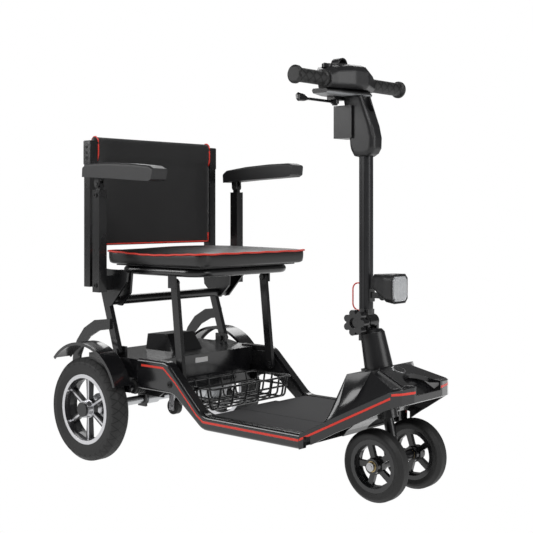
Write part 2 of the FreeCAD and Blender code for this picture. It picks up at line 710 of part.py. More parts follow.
keep("lamp_housing", cut(fuse(lamp_body, lamp_ears), lamp_hollow, lamp_slot, lamp_bore))
keep("lamp_lens", loft([
    lamp_section("lamp_front - 4", "lamp_half - 4.2", "lamp_bottom + 4.2", "lamp_top - 4.2", 8),
    lamp_section("lamp_front + 2", "lamp_half - 5", "lamp_bottom + 5", "lamp_top - 5", 8),
]))
keep("lamp_bracket", fuse(
    box(("tube_forward + tube_length / 2", "-5", "lamp_pivot_height - 6"),
        ("lamp_pivot_forward", "5", "lamp_pivot_height + 6")),
    cylinder("6", "-5", "5", "lamp_pivot_forward", "0", "lamp_pivot_height"),
    cylinder("3", "-14", "14", "lamp_pivot_forward", "0", "lamp_pivot_height"),
    box(("tube_forward + tube_length / 2", "-8", "lamp_pivot_height - 14"),
        ("tube_forward + tube_length / 2 + 3", "8", "lamp_pivot_height + 14")),
))

# ---- head ------------------------------------------------------------------------------------------

tube_room = tube_solid("NeckHollow", "tube_length + 0.8", "tube_width + 0.8", "tube_corner", "neck_bottom - 1",
                       "tube_top + 94")


def side_profile(name, half, corners):
    """A body of one side outline, extruded to both sides of the centre plane."""
    body = new_body(name)
    drawing = sketch(body, "XZ_Plane")
    outline(drawing, corners)
    grown = pad(body, drawing, f"2 * ({half})", middle=True)
    return locate(body), grown


neck, grown = side_profile("NeckShell", "neck_half", [
    ("614", "715"), ("619", "neck_bottom + 2"), ("628", "neck_bottom"), ("654", "neck_bottom"), ("665", "neck_bottom + 6"),
    ("672", "722"), ("673", "745"), ("667", "771"), ("656", "800"), ("643", "console_bottom - 0.2"),
    ("594", "console_bottom - 0.2"), ("604", "790"), ("612", "745"),
])
rounded(neck, grown, "10", lambda edge, mid: near(abs(mid.y), "neck_half") and mid.z < number("console_bottom - 2")
        and not (mid.x < 616 and mid.z > 720))
keep("neck_shell", cut(neck, tube_room))

neck_room, grown = side_profile("NeckRoom", "neck_half + 2", [
    ("614.3", "700"), ("680", "700"), ("680", "console_bottom"), ("593.7", "console_bottom"), ("603.7", "790"),
    ("611.7", "745"),
])
keep("controller_box", cut(box(("572", "-24", "746"), ("620", "24", "816")), neck_room))

handlebar_room = cylinder("bar_radius + running_gap", "-console_half - 5", "console_left + 5", "bar_forward", "0",
                          "bar_height")


def cross_section(y, rear, front, low, high, corner):
    """A bevelled outline in side view, at a distance from the centre plane."""
    drawing = doc.addObject("Sketcher::SketchObject", "CrossSection")
    drawing.Placement = Placement(Vector(), Rotation(Vector(1, 0, 0), 90))
    locate(drawing, "0", y)
    outline(drawing, [
        (f"{rear} + {corner}", low), (f"{front} - {corner}", low), (front, f"{low} + {corner}"),
        (front, f"{high} - {corner} * 1.6"), (f"{front} - {corner}", f"{high} - {corner} * 0.5"),
        (f"{front} - {corner} * 2.2", high), (f"{rear} + {corner} * 0.8", high), (rear, f"{high} - {corner} * 1.4"),
    ])
    return drawing


keep("console_base", cut(
    loft([
        cross_section("-console_half + 4", "562", "604", "console_bottom + 3", "849", "3"),
        cross_section("-52", "557", "618", "console_bottom", "849", "4"),
        cross_section("30", "557", "630", "console_bottom", "849", "4"),
        cross_section("console_left - 4", "568", "612", "console_bottom + 3", "849", "3"),
    ]), tube_room))
shell = loft([
    cross_section("-console_half", "579", "617", "849", "887", "8"),
    cross_section("-70", "560", "622", "849", "896", "8"),
    cross_section("-30", "551", "636", "849", "902", "9"),
    cross_section("10", "551", "642", "849", "903", "10"),
    cross_section("42", "562", "628", "849", "896", "9"),
    cross_section("console_left", "579", "617", "849", "886", "8"),
])
visor = cut(
    fuse(cylinder("16", "583", "604", "0", "-32", "900.4", "X"), box(("583", "-48", "888"), ("604", "-16", "900.4"))),
    cylinder("12.5", "580", "610", "0", "-32", "900.4", "X"),
    box(("580", "-44.5", "880"), ("610", "-19.5", "900.4")),
)
key_bore = cylinder("6 + running_gap", "530", "566", "0", "20", "874", "X")
dial_bore = cylinder("4 + running_gap", "880", "930", "590", "-70", "0", "Z")
dial_flat = cylinder("dial_radius + 2", "893", "930", "590", "-70", "0", "Z")
shell_body = cut(shell, handlebar_room, key_bore, dial_bore, dial_flat)
keep("console_shell", fuse(shell_body, visor))
keep("speed_dial", fuse(
    cylinder("4", "881", "894", "590", "-70", "0", "Z"),
    cylinder("dial_radius", "893.3", "901", "590", "-70", "0", "Z"),
    box(("589", "-80", "900"), ("591", "-60", "902.5")),
))
keep("ignition_key", fuse(
    cylinder("6", "536", "565", "0", "20", "874", "X"),
    box(("520", "18.8", "864"), ("537", "21.2", "884")),
))

bar = cylinder("bar_radius", "-bar_half", "bar_half", "bar_forward", "0", "bar_height")
bar_inside = cylinder("bar_radius - 2", "-bar_half - 1", "bar_half + 1", "bar_forward", "0", "bar_height")
keep("handlebar", cut(bar, bar_inside))


def grip(name, start):
    """A hand grip on the right-hand end of the handlebar."""
    body = new_body(name)
    profile = sketch(body, "XY_Plane")
    outline(profile, [
        ("bar_radius + running_gap", f"-{start}"), ("grip_radius + 2.5", f"-{start}"),
        ("grip_radius + 2.5", f"-{start} - 4"), ("grip_radius", f"-{start} - 7"), ("grip_radius", "-bar_half + 5"),
        ("grip_radius + 4.2", "-bar_half + 2"), ("grip_radius + 4.2", "-bar_half - 3"),
        ("grip_radius", "-bar_half - 6"), ("0", "-bar_half - 6"), ("0", "-bar_half - 0.2"),
        ("bar_radius + running_gap", "-bar_half - 0.2"),
    ])
    revolve(body, profile, "360", "V_Axis")
    return locate(body, "bar_forward", "0", "bar_height")


left_grip = mirrored(grip("LeftGrip", "(console_left + 1)"))
keep("grips", fuse(grip("RightGrip", "(console_half + 1)"), left_grip))

keep("throttle_mount", fuse(
    box(("lever_forward - 9", "-46", "828"), ("lever_forward + 12", "-6", "console_bottom")),
    cylinder("3", "818", "829", "lever_forward", "-lever_side", "0", "Z"),
    cylinder("6", "817", "820", "lever_forward", "-lever_side", "0", "Z"),
))
paddle = loft([
    cross_section("-122", "lever_forward - 3", "lever_forward + 3", "821", "827", "1.5"),
    cross_section("-134", "lever_forward - 4", "lever_forward + 4", "818", "833", "2"),
    cross_section("-152", "lever_forward - 4", "lever_forward + 4", "817", "835", "2"),
    cross_section("-lever_reach", "lever_forward - 3", "lever_forward + 3", "821", "831", "1.5"),
])
lever = fuse(
    cylinder("9", "820.3", "827.7", "lever_forward", "-lever_side", "0", "Z"),
    cylinder("3", "-128", "-lever_side", "lever_forward", "0", "824"),
    paddle,
)
keep("throttle_lever", cut(lever, cylinder("3 + running_gap", "810", "828", "lever_forward", "-lever_side", "0", "Z")))

# ---- chassis ---------------------------------------------------------------------------------------


def plate(name, inner, thickness, corners):
    """A right-hand plate with one side outline, from its inner face outwards."""
    body = new_body(name)
    drawing = sketch(body, "XZ_Plane", inner)
    outline(drawing, corners)
    grown = pad(body, drawing, thickness)
    return locate(body), grown


side_wall, grown = plate("SideWall", "plate_inner", "rail_inner - plate_inner", [
    ("rail_rear + 1", "box_bottom - tray_thickness"), ("172", "box_bottom - tray_thickness"), ("200", "180"),
    ("slope_bottom_start", "rail_rear_bottom + 3"), ("slope_bottom_end", "floor_bottom + 2"),
    ("floor_front - 6", "floor_bottom + 2"), ("floor_front - 6", "deck_top - 1"), ("slope_top_end - 4", "deck_top - 1"),
    ("slope_top_start", "rail_top - 12"), ("rail_rear + 1", "rail_top - 12"),
])
rear_wall = box(("-28", "-149.7", "156"), ("box_front", "-144.2", "box_shoulder - seat_gap"))
bracket_foot = box(("28", "-173.5", "194"), ("64", "-145", "box_shoulder - seat_gap"))
bracket_plate = box(("28", "-173.5", "194"), ("64", "-168", "rear_foot_z + 12"))
basket_ledges = [
    box((start, "-plate_inner - 1", "182"), (end, "-basket_half + 2", "basket_top - basket_wire - seat_gap"))
    for start, end in (("212", "222"), ("261", "271"))
]
hanger = cut(
    box(("-14", "-66", "104"), ("14", "-60", "box_bottom - tray_thickness + 1")),
    cylinder("10 + seat_gap", "-70", "-50", "0", "0", "rear_tyre_radius"),
)
half_frame = fuse(side_wall, rear_wall, bracket_foot, bracket_plate, hanger, *basket_ledges)
head_web = side_profile("HeadWeb", "40", [
    ("floor_front - 10", "floor_bottom + 2"), ("floor_front - 2", "floor_bottom + 2"), ("wheelbase - 97", "125"),
    ("wheelbase - 83", "136"), ("wheelbase - 67", "147"), ("wheelbase - 53", "160"), ("wheelbase - 17", "169"),
    ("wheelbase - 21", "186"), ("wheelbase - 54", "174"), ("wheelbase - 61", "158.5"), ("wheelbase - 77", "143.5"),
    ("floor_front + 1", "136"), ("floor_front - 10", "136"),
])[0]
frame_solid = fuse(
    half_frame, mirrored(half_frame),
    box(("-50", "-149.7", "box_bottom - tray_thickness"), ("box_front", "149.7", "box_bottom")),
    box(("rail_rear + 1", "-plate_inner - 1", "box_bottom - tray_thickness"),
        ("box_front", "plate_inner + 1", "box_bottom")),
    cylinder("8", "-149", "149", "-36", "0", "box_bottom - tray_thickness - 7"),
    box(("345", "-plate_inner - 1", "floor_bottom + 2"), ("369", "plate_inner + 1", "deck_bottom - seat_gap")),
    box(("580", "-plate_inner - 1", "floor_bottom + 2"), ("606", "plate_inner + 1", "deck_bottom - seat_gap")),
    head_web, leaning_cylinder("head_radius", "head_low", "head_high"),
)
leg_bores = [
    cylinder("bolt_radius + running_gap", "-200", "200", "front_foot_x", "0", "front_foot_z"),
    cylinder("bolt_radius + running_gap", "-200", "200", "rear_foot_x", "0", "rear_foot_z"),
]
keep("chassis_frame", cut(frame_solid, leaning_cylinder("stem_radius + 2", "head_low - 20", "head_high + 20"),
                          *leg_bores))


def foot_bolt(x, z, start, end, collar_start, collar_end):
    return fuse(
        cylinder("bolt_radius", start, end, x, "0", z),
        cylinder("bolt_radius + 4", start, f"{start} + 4", x, "0", z),
        cylinder("bolt_radius + 4", collar_start, collar_end, x, "0", z),
    )


front_inner = "front_leg_side - front_leg_thickness / 2"
front_outer = "front_leg_side + front_leg_thickness / 2"
rear_inner = "rear_leg_side - rear_leg_thickness / 2"
rear_outer = "rear_leg_side + rear_leg_thickness / 2"
front_bolt = fuse(
    cylinder("bolt_radius", "-plate_inner - 5", f"-({front_inner}) + 4", "front_foot_x", "0", "front_foot_z"),
    cylinder("bolt_radius + 3", f"-({front_inner}) + seat_gap", f"-({front_inner}) + 4", "front_foot_x", "0",
             "front_foot_z"),
    cylinder("bolt_radius + 3", "-plate_inner + seat_gap", f"-({front_outer}) - seat_gap", "front_foot_x", "0",
             "front_foot_z"),
)
rear_bolt = fuse(
    cylinder("bolt_radius", f"-({rear_outer}) - 4", "-164", "rear_foot_x", "0", "rear_foot_z"),
    cylinder("bolt_radius + 3", f"-({rear_outer}) - 4", f"-({rear_outer}) - seat_gap", "rear_foot_x", "0",
             "rear_foot_z"),
    cylinder("bolt_radius + 3", "-168 + seat_gap", "-164", "rear_foot_x", "0", "rear_foot_z"),
)
pair("pivot_bolts", fuse(front_bolt, rear_bolt))

rail, grown = plate("SideRail", "rail_inner", "rail_outer - rail_inner", [
    ("rail_rear", "rail_rear_bottom"), ("slope_bottom_start", "rail_rear_bottom"), ("slope_bottom_end", "floor_bottom"),
    ("floor_front", "floor_bottom"), ("floor_front", "floor_top"), ("slope_top_end", "floor_top"),
    ("slope_top_start", "rail_top"), ("rail_rear", "rail_top"),
])
bends = ["slope_bottom_start", "slope_bottom_end", "slope_top_end", "slope_top_start"]
grown = rounded(rail, grown, "rail_bend", lambda edge, mid: cross_edge(edge) and any(near(mid.x, x) for x in bends))
rounded(rail, grown, "rail_edge", lambda edge, mid: near(abs(mid.y), "rail_outer")
        and number("rail_rear + 5") < mid.x < number("floor_front - 5"))
stripe_top = [
    ("138", "rail_top - stripe_drop"), ("212", "rail_top - stripe_drop"), ("252", "206"), ("318", "144.5"),
    ("339", "floor_top - 10"), ("floor_front - 2", "floor_top - 10"), ("wheelbase + 63", "225"),
]
stripe_corners = stripe_top + [(x, f"({z}) - stripe_width") for x, z in reversed(stripe_top)]
band, grown = side_profile("StripeBand", "rail_outer + 10", stripe_corners)
rail_skin = box(("130", "-rail_outer - 1", "90"), ("611", "-rail_outer + stripe_depth", "270"))
rail_groove = common(band, rail_skin)
rail_cut = cut(rail, rail_groove)
both_sides("side_rail", rail_cut)

# the front hood narrows from the full width of the floor to its nose
HOOD = [
    ("floor_front + 0.5", "rail_outer", "floor_bottom", "floor_top", "rail_outer - 25", "floor_top + 1"),
    ("wheelbase - 77", "177", "124", "157", "161", "150"),
    ("wheelbase - 61", "169", "134", "166", "157", "168"),
    ("wheelbase - 37", "157", "148", "180", "120", "261"),
    ("wheelbase - 14", "145", "160", "193", "68", "263"),
    ("wheelbase + 59", "109", "201", "233", "99", "238"),
    ("wheelbase + 72", "84", "205", "236", "70", "239"),
    ("wheelbase + 80", "52", "208", "238", "44", "240"),
]


def hood_section(x, low_half, low, mid, top_half, top, inset):
    return station(x, [
        (f"-({low_half}) + {inset}", f"({low}) - {inset} / 2"), (f"({low_half}) - {inset}", f"({low}) - {inset} / 2"),
        (f"({low_half}) - {inset}", f"({mid}) - {inset} / 2"), (f"({top_half}) - {inset}", f"({top}) - {inset}"),
        (f"-({top_half}) + {inset}", f"({top}) - {inset}"), (f"-({low_half}) + {inset}", f"({mid}) - {inset} / 2"),
    ])


hood_outer = loft([
    hood_section(x, low_half, low, mid, top_half, top, "0") for x, low_half, low, mid, top_half, top in HOOD
])
hood_inner = loft([
    hood_section(f"{x} + 1.5" if index < 5 else f"{x} - 4", low_half, low, mid, top_half, top, "4")
    for index, (x, low_half, low, mid, top_half, top) in enumerate(HOOD)
])
hood_open = box(("floor_front - 4", "-rail_outer + 4", "60"), ("floor_front + 22", "rail_outer - 4", "floor_top - 4"))
column_room = leaning_cylinder("cover_radius + 4", "head_low - 30", "cover_high")
hood_cradle = fuse(
    cylinder("45", "221", "300", "wheelbase + 71", "0", "0", "Z"),
    box(("wheelbase + 71", "-45", "221"), ("wheelbase + 103", "45", "300")),
)
plate_face = loft([
    station("wheelbase - 11", [("-47", "250"), ("47", "250"), ("47", "267"), ("-47", "267")]),
    station("wheelbase + 63", [("-67", "222"), ("67", "222"), ("67", "241"), ("-67", "241")]),
    station("wheelbase + 80", [("-42", "222"), ("42", "222"), ("42", "240"), ("-42", "240")]),
])
skirt_angle = "atan((rail_outer - 107) / (wheelbase + 63 - floor_front))"
skirt_skin = doc.addObject("Part::Box", "SkirtSkin")
bind(skirt_skin, "Length", "200")
bind(skirt_skin, "Width", "stripe_depth + 4")
bind(skirt_skin, "Height", "160")
skirt_skin.Placement = Placement(Vector(), Rotation(Vector(0, 0, 1), 1))
bind(skirt_skin, "Placement.Rotation.Angle", skirt_angle)
locate(skirt_skin, "612.5 + 4 * sin(26.3)", "-rail_outer - 4 * cos(26.3)", "90")
cradle_floor = loft([
    station("wheelbase + 24", [("-50", "238"), ("50", "238"), ("50", "242"), ("-50", "242")]),
    station("wheelbase + 78", [("-50", "208"), ("50", "208"), ("50", "212"), ("-50", "212")]),
])
turret = common(leaning_cylinder("cover_radius + 8", "head_low", "head_high + 30"),
                box(("wheelbase - 120", "-60", "189"), ("wheelbase + 20", "60", "259")))
hood_shell = cut(fuse(hood_outer, plate_face, turret), hood_inner, hood_open, column_room, hood_cradle)
hood_body = fuse(hood_shell, cradle_floor)
skirt_band = common(band, skirt_skin)
skirt_stripe = common(skirt_band, hood_body)
nose_core = loft([
    hood_section(f"{x} - stripe_depth", low_half, low, mid, top_half, top, "stripe_depth")
    for x, low_half, low, mid, top_half, top in HOOD[5:]
])
nose_skin = box(("wheelbase + 61", "-107", "nose_stripe - stripe_width"), ("wheelbase + 90", "-47", "nose_stripe"))
nose_trim = common(cut(hood_outer, nose_core), nose_skin)
keep("front_hood", cut(hood_body, skirt_band, mirrored(skirt_band), nose_trim, mirrored(nose_trim)))
pair("side_stripes", fuse(common(rail_groove, rail), skirt_stripe, nose_trim))

deck = cut(
    fuse(
        box(("330", "-plate_inner + seat_gap", "deck_bottom"), ("602 - seat_gap", "plate_inner - seat_gap", "deck_top")),
        box(("330", "-64", "deck_top"), ("611", "64", "deck_top + 3")),
        box(("590", "-158", "deck_top"), ("611", "158", "deck_top + 3")),
    ),
    box(("330 + deck_wall", "-156", "deck_bottom - 1"), ("464", "156", "deck_top - deck_wall")),
    box(("468", "-156", "deck_bottom - 1"), ("602 - deck_wall", "156", "deck_top - deck_wall")),
)
keep("floor_deck", deck)
pair("floor_mat", box(("340", "-rail_inner + 1", "deck_top"), ("589.7", "-64.3", "deck_top + mat_thickness")))

upper = box(("box_rear", "-box_half", "box_shoulder"), ("rail_rear - seat_gap", "box_half", "box_top"))
upper_front = box(("rail_rear - 10", "-plate_inner + 1", "box_shoulder"), ("box_front", "plate_inner - 1", "box_top"))
lower = box(("box_rear + 5", "-box_low_half", "box_bottom"), ("box_front", "box_low_half", "box_shoulder + 1"))
block = loft([
    station("0", [("-block_half", "box_top - 1"), ("block_half", "box_top - 1"), ("block_half - 6", "box_top + 38"),
                  ("-block_half + 6", "box_top + 38")]),
    station("70", [("-block_half", "box_top - 1"), ("block_half", "box_top - 1"),
                   ("block_half - 7", "box_top + block_height"), ("-block_half + 7", "box_top + block_height")]),
    station("block_length", [("-block_half + 2", "box_top - 1"), ("block_half - 2", "box_top - 1"),
                             ("block_half - 4", "box_top + 1"), ("-block_half + 4", "box_top + 1")]),
])
box_hollow = [
    box(("box_rear + box_wall", "-box_half + box_wall", "box_shoulder + box_wall"),
        ("rail_rear - box_wall - seat_gap", "box_half - box_wall", "box_top - box_wall")),
    box(("rail_rear - 12", "-plate_inner + box_wall + 1", "box_shoulder + box_wall"),
        ("box_front - box_wall", "plate_inner - box_wall - 1", "box_top - box_wall")),
    box(("box_rear + box_wall + 5", "-box_low_half + box_wall", "box_bottom + box_wall"),
        ("box_front - box_wall", "box_low_half - box_wall", "box_top - box_wall")),
]
bracket_slot = box(("27.5", "-174", "box_shoulder - 1"), ("64.5", "-167.5", "box_top + 1"))
keep("rear_box", cut(fuse(upper, upper_front, lower, block), *box_hollow, bracket_slot, mirrored(bracket_slot)))
keep("battery_pack", box(("-30", "-110", "box_bottom + box_wall"), ("112", "110", "box_top - box_wall - 3")))
keep("motor_controller", box(("118", "-60", "box_bottom + box_wall"), ("158", "60", "205")))

# ---- rear axle -------------------------------------------------------------------------------------

motor = fuse(
    cylinder("32", "-200", "-150", "0", "0", "rear_tyre_radius"),
    cylinder("26", "-151", "-136", "0", "0", "rear_tyre_radius"),
    *[cylinder("35", f"-{start} - 3", f"-{start}", "0", "0", "rear_tyre_radius") for start in (156, 164, 172, 180)],
    cylinder("shaft_radius", f"{hub_end} + 1", "-199", "0", "0", "rear_tyre_radius"),
)
pair("drive_motors", motor)
keep("rear_axle_beam", fuse(
    cylinder("10", "-135.7", "135.7", "0", "0", "rear_tyre_radius"),
    cylinder("14", "-54", "-18", "0", "0", "rear_tyre_radius"),
    box(("-6", "-50", "rear_tyre_radius"), ("6", "-22", "rear_tyre_radius + 22")),
))
roller_bracket = fuse(
    *[box(("137", f"-{start} - 3", "117"), ("153", f"-{start}", "box_bottom - tray_thickness")) for start in (79, 98)],
    box(("137", "-101", "box_bottom - tray_thickness - 3"), ("153", "-79", "box_bottom - tray_thickness")),
    cylinder("4", "-104", "-76", "145", "0", "125"),
)
pair("roller_brackets", roller_bracket)
roller = cut(cylinder("18.5", "-97", "-83", "145", "0", "125"),
             cylinder("4 + running_gap", "-110", "-70", "145", "0", "125"))
both_sides("transport_roller", roller)

# ---- fenders ---------------------------------------------------------------------------------------


def arc_band(name, outer, inner, half):
    """Part of a ring about the fender's middle, as a body."""
    body = new_body(name)
    section = sketch(body, "XY_Plane")
    outline(section, [(inner, f"-({half})"), (outer, f"-({half})"), (outer, half), (inner, half)])
    revolve(body, section, "fender_sweep", "V_Axis")
    body.Placement = Placement(Vector(), Rotation(Vector(0, -1, 0), 1))
    body.setExpression("Placement.Rotation.Angle", full("fender_start + fender_sweep"))
    return locate(body, "fender_centre_x", "-rear_track_half", "fender_centre_z")


band_solid = arc_band("FenderBand", "fender_radius", "fender_radius - 7", "fender_half")
band_room = arc_band("FenderRoom", "fender_radius - 3", "fender_radius - 9", "fender_half - 3")
fender_web = box(("94", "-203.8", "168"), ("114", "-200", "190"))
fender_stub = cylinder("10", "-203", "-187", "103", "0", "179")
fender = fuse(cut(band_solid, band_room), fender_web, fender_stub)
both_sides("fender", fender)
mount = fuse(
    cylinder("16", "-186.7", "-149.7", "103", "0", "179"),
    *[cylinder("18", f"-{start} - 4", f"-{start}", "103", "0", "179") for start in (152, 160, 168, 176)],
)
pair("fender_mounts", mount)

# ---- basket ----------------------------------------------------------------------------------------


def basket_wires():
    """Rim, middle loop and bent wires of the basket, joined where they cross."""
    half, rear, front = number("basket_half"), number("basket_rear"), number("basket_front")
    top = number("basket_top")
    low = top - number("basket_depth")
    wires = []
    for height, inset in ((top, 0), (top - 22, 5)):
        y, left, right = half - inset, rear + inset, front - inset
        middle = (left + right) / 2
        points = [Vector(middle, -y, height), Vector(right, -y, height), Vector(right, y, height),
                  Vector(left, y, height), Vector(left, -y, height), Vector(middle, -y, height)]
        wires.append(bent_wire(points, 12))
    for share in (0.12, 0.31, 0.5, 0.69, 0.88):
        x = rear + share * (front - rear)
        wires.append(bent_wire([Vector(x, -half, top), Vector(x, -half + 10, low), Vector(x, half - 10, low),
                                Vector(x, half, top)], 10))
    for share in (-0.8, -0.48, -0.16, 0.16, 0.48, 0.8):
        y = share * half
        wires.append(bent_wire([Vector(rear, y, top), Vector(rear + 10, y, low), Vector(front - 10, y, low),
                                Vector(front, y, top)], 10))
    return wires


strands = [feature(bar_along(wire, number("basket_wire"))) for wire in basket_wires()]
keep("basket", fuse(*strands))

# ---- seat legs -------------------------------------------------------------------------------------

front_leg = link("front_foot_x", "front_foot_z", "front_top_x", "front_top_z", "front_leg_width",
                 "front_leg_side", "front_leg_thickness", "bolt_radius + running_gap")
pair("front_legs", front_leg)
rear_leg = link("rear_foot_x", "rear_foot_z", "rear_top_x", "rear_top_z", "rear_leg_width",
                "rear_leg_side", "rear_leg_thickness", "bolt_radius + running_gap")
stay_points = [
    (28, 333), (28, 308), (-12, 302), (-48, 284), (-72, 260), (-84, 236), (-88, 204), (-116, 204), (-112, 240),
    (-98, 272), (-70, 304), (-30, 326),
]
stay, grown = plate("Stay", rear_outer, "5", [(str(x), str(z)) for x, z in stay_points])
pair("rear_legs", fuse(rear_leg, stay))

# ---- seat ------------------------------------------------------------------------------------------

ring_half, ring_z = number("ring_half"), number("ring_height")
ring_rear, ring_front = number("ring_rear"), number("ring_front")
ring_points = [
    Vector((ring_rear + ring_front) / 2, -ring_half, ring_z), Vector(ring_front, -ring_half, ring_z),
    Vector(ring_front, ring_half, ring_z), Vector(ring_rear, ring_half, ring_z),
    Vector(ring_rear, -ring_half, ring_z), Vector((ring_rear + ring_front) / 2, -ring_half, ring_z),
]
ring = feature(bar_along(bent_wire(ring_points, number("ring_bend")), number("ring_radius")))
gusset, grown = plate("Gusset", "gusset_inner", "gusset_thickness", [
    ("-14", "rear_top_z + 8"), ("-12", "rear_top_z - 9"), ("22", "366"), ("46", "364"), ("78", "396"),
    ("84", "ring_height"), ("40", "ring_height"),
])
outer_gusset, grown = plate("OuterGusset", "197.5", "5", [
    ("24", "372"), ("34", "364"), ("46", "366"), ("100", "424"), ("104", "446"), ("98", "452"), ("28", "452"),
])
cross_bar = cylinder("11", "-202", "0", "34", "0", "377")
back_pin = cylinder("back_pin_radius", "-202", "-gusset_inner - 1", "back_pivot_x", "0", "back_pivot_z")
leg_hanger = fuse(
    box(("front_top_x - 12", f"-({front_outer}) - 6", "front_top_z - 12"),
        ("front_top_x + 12", f"-({front_outer}) - 1", "ring_height")),
    cylinder("bolt_radius", f"-({front_outer}) - 5", f"-({front_inner}) + 4", "front_top_x", "0", "front_top_z"),
    cylinder("bolt_radius + 3", f"-({front_inner}) + seat_gap", f"-({front_inner}) + 4", "front_top_x", "0",
             "front_top_z"),
)
frame_side = fuse(gusset, outer_gusset, cross_bar, back_pin, leg_hanger)
keep("seat_frame", fuse(ring, frame_side, mirrored(frame_side)))
keep("seat_pan", box(("ring_rear - 10", "-ring_half - 6", "ring_height + ring_radius + 0.1"),
                     ("ring_front + 14", "ring_half + 6", "ring_height + ring_radius + pan_thickness")))

cushion = new_body("SeatCushion")
drawing = sketch(cushion, "XY_Plane")
outline(drawing, [
    ("cushion_rear", "-cushion_half"), ("cushion_front", "-cushion_half"), ("cushion_front", "cushion_half"),
    ("cushion_rear", "cushion_half"),
])
grown = pad(cushion, drawing, "cushion_top - ring_height - ring_radius - pan_thickness - seat_gap")
grown = rounded(cushion, grown, "cushion_corner", lambda edge, mid: upright_edge(edge))
cushion_thickness = number("cushion_top - ring_height - ring_radius - pan_thickness - seat_gap")
rounded(cushion, grown, "9", lambda edge, mid: near(mid.z, cushion_thickness))
locate(cushion, "0", "0", "ring_height + ring_radius + pan_thickness + seat_gap")
keep("seat_cushion", cushion)

post = fuse(
    box(("post_rear", "-post_inner - post_width", "400"), ("post_rear + post_depth", "-post_inner", "640")),
    box(("post_rear + 4", "-post_inner", "404"), ("post_rear + post_depth - 4", "-202.5", "438")),
    box(("post_rear + 4", "-239.5", "639"), ("post_rear + post_depth - 4.5", "-229.5", "arm_pivot_z")),
    cylinder("8", "-239.5", "-229.5", "post_rear + 12", "0", "arm_pivot_z"),
)
post_bore = cylinder("back_pin_radius + running_gap", "-260", "-210", "post_rear + 12", "0", "arm_pivot_z")
pair("armrest_posts", cut(post, post_bore))


def armrest(name, tilt, offset):
    """An armrest pad with its two pivot ears, about its own pivot."""
    pad_body = new_body(name)
    drawing = sketch(pad_body, "XZ_Plane")
    outline(drawing, [
        ("-32", "15"), ("-32", "40"), ("-20", "47"), ("50", "51"), ("130", "51"), ("arm_reach - 16", "48"),
        ("arm_reach", "42"), ("arm_reach - 4", "18"), ("arm_reach - 14", "13"), ("60", "15"),
    ])
    grown = pad(pad_body, drawing, "arm_width", middle=True)
    rounded(pad_body, grown, "6", lambda edge, mid: abs(abs(mid.y) - number("arm_width") / 2) < 0.1 and mid.z > 40)
    bind(pad_body, "Placement.Base.y", offset)
    pieces = [pad_body]
    for start in ("-10", "5.3"):
        ear = doc.addObject("Part::Box", "Ear")
        bind(ear, "Length", "16")
        bind(ear, "Width", "4.7")
        bind(ear, "Height", "16")
        ear.Placement.Base = Vector(-8, 0, 0)
        bind(ear, "Placement.Base.y", start)
        eye = doc.addObject("Part::Cylinder", "Eye")
        bind(eye, "Radius", "8")
        bind(eye, "Height", "4.7")
        eye.Placement = Placement(Vector(), Rotation(Vector(1, 0, 0), -90))
        bind(eye, "Placement.Base.y", start)
        pieces += [ear, eye]
    pin = doc.addObject("Part::Cylinder", "Pin")
    bind(pin, "Radius", "back_pin_radius")
    bind(pin, "Height", "24")
    pin.Placement = Placement(Vector(0, -12, 0), Rotation(Vector(1, 0, 0), -90))
    whole = fuse(*pieces, pin)
    whole.Placement = Placement(Vector(), Rotation(Vector(0, -1, 0), 1))
    whole.setExpression("Placement.Rotation.Angle", full(tilt))
    return whole


keep("armrest_right", locate(armrest("ArmrestRight", "arm_tilt_right + 360", "-arm_offset"), "post_rear + 12",
                             "-post_inner - post_width / 2", "arm_pivot_z"))
keep("armrest_left", locate(armrest("ArmrestLeft", "arm_tilt_left", "arm_offset"), "post_rear + 12",
                            "post_inner + post_width / 2", "arm_pivot_z"))

side_arm, grown = plate("BackSideArm", "side_plate", "side_plate_thickness", [
    ("upright_rear + 2", "412"), ("back_pivot_x", "back_pivot_z - 13"), ("back_pivot_x + 10", "back_pivot_z - 8"),
    ("back_pivot_x + 13", "back_pivot_z"), ("back_pivot_x + 10", "back_pivot_z + 8"),
    ("back_pivot_x", "back_pivot_z + 13"), ("upright_rear + 2", "456"),
])
upright = box(("upright_rear", "-193 - upright_width", "upright_bottom"),
              ("upright_rear + upright_depth", "-193", "upright_top"))
sleeve = box(("upright_rear - 2", "-193 - upright_width - 0.4", "703"),
             ("upright_rear + upright_depth + 2", "-193", "upright_top - 1"))
arm_bore = cylinder("back_pin_radius + running_gap", "-210", "-180", "back_pivot_x", "0", "back_pivot_z")
pair("back_uprights", cut(fuse(side_arm, upright, sleeve), arm_bore))
keep("back_sling", box(("upright_rear - 2", "-sling_half", "sling_bottom"),
                       ("upright_rear - 2 + sling_thickness", "sling_half", "sling_top")))

# ---- checks and files ------------------------------------------------------------------------------

doc.recompute()
os.makedirs("parts", exist_ok=True)
for thing in doc.Objects:
    if {"Invalid", "Error"} & set(thing.State):
        raise ValueError(f"{thing.Label} did not build: {thing.State}")
for label, thing in parts.items():
    shape = thing.Shape
    if shape.isNull() or not shape.isValid():
        raise ValueError(f"{label} has no valid shape")
    shape.exportStep(f"parts/{label}.step")
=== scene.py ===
import math
import bmesh
import bpy
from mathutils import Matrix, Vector, noise


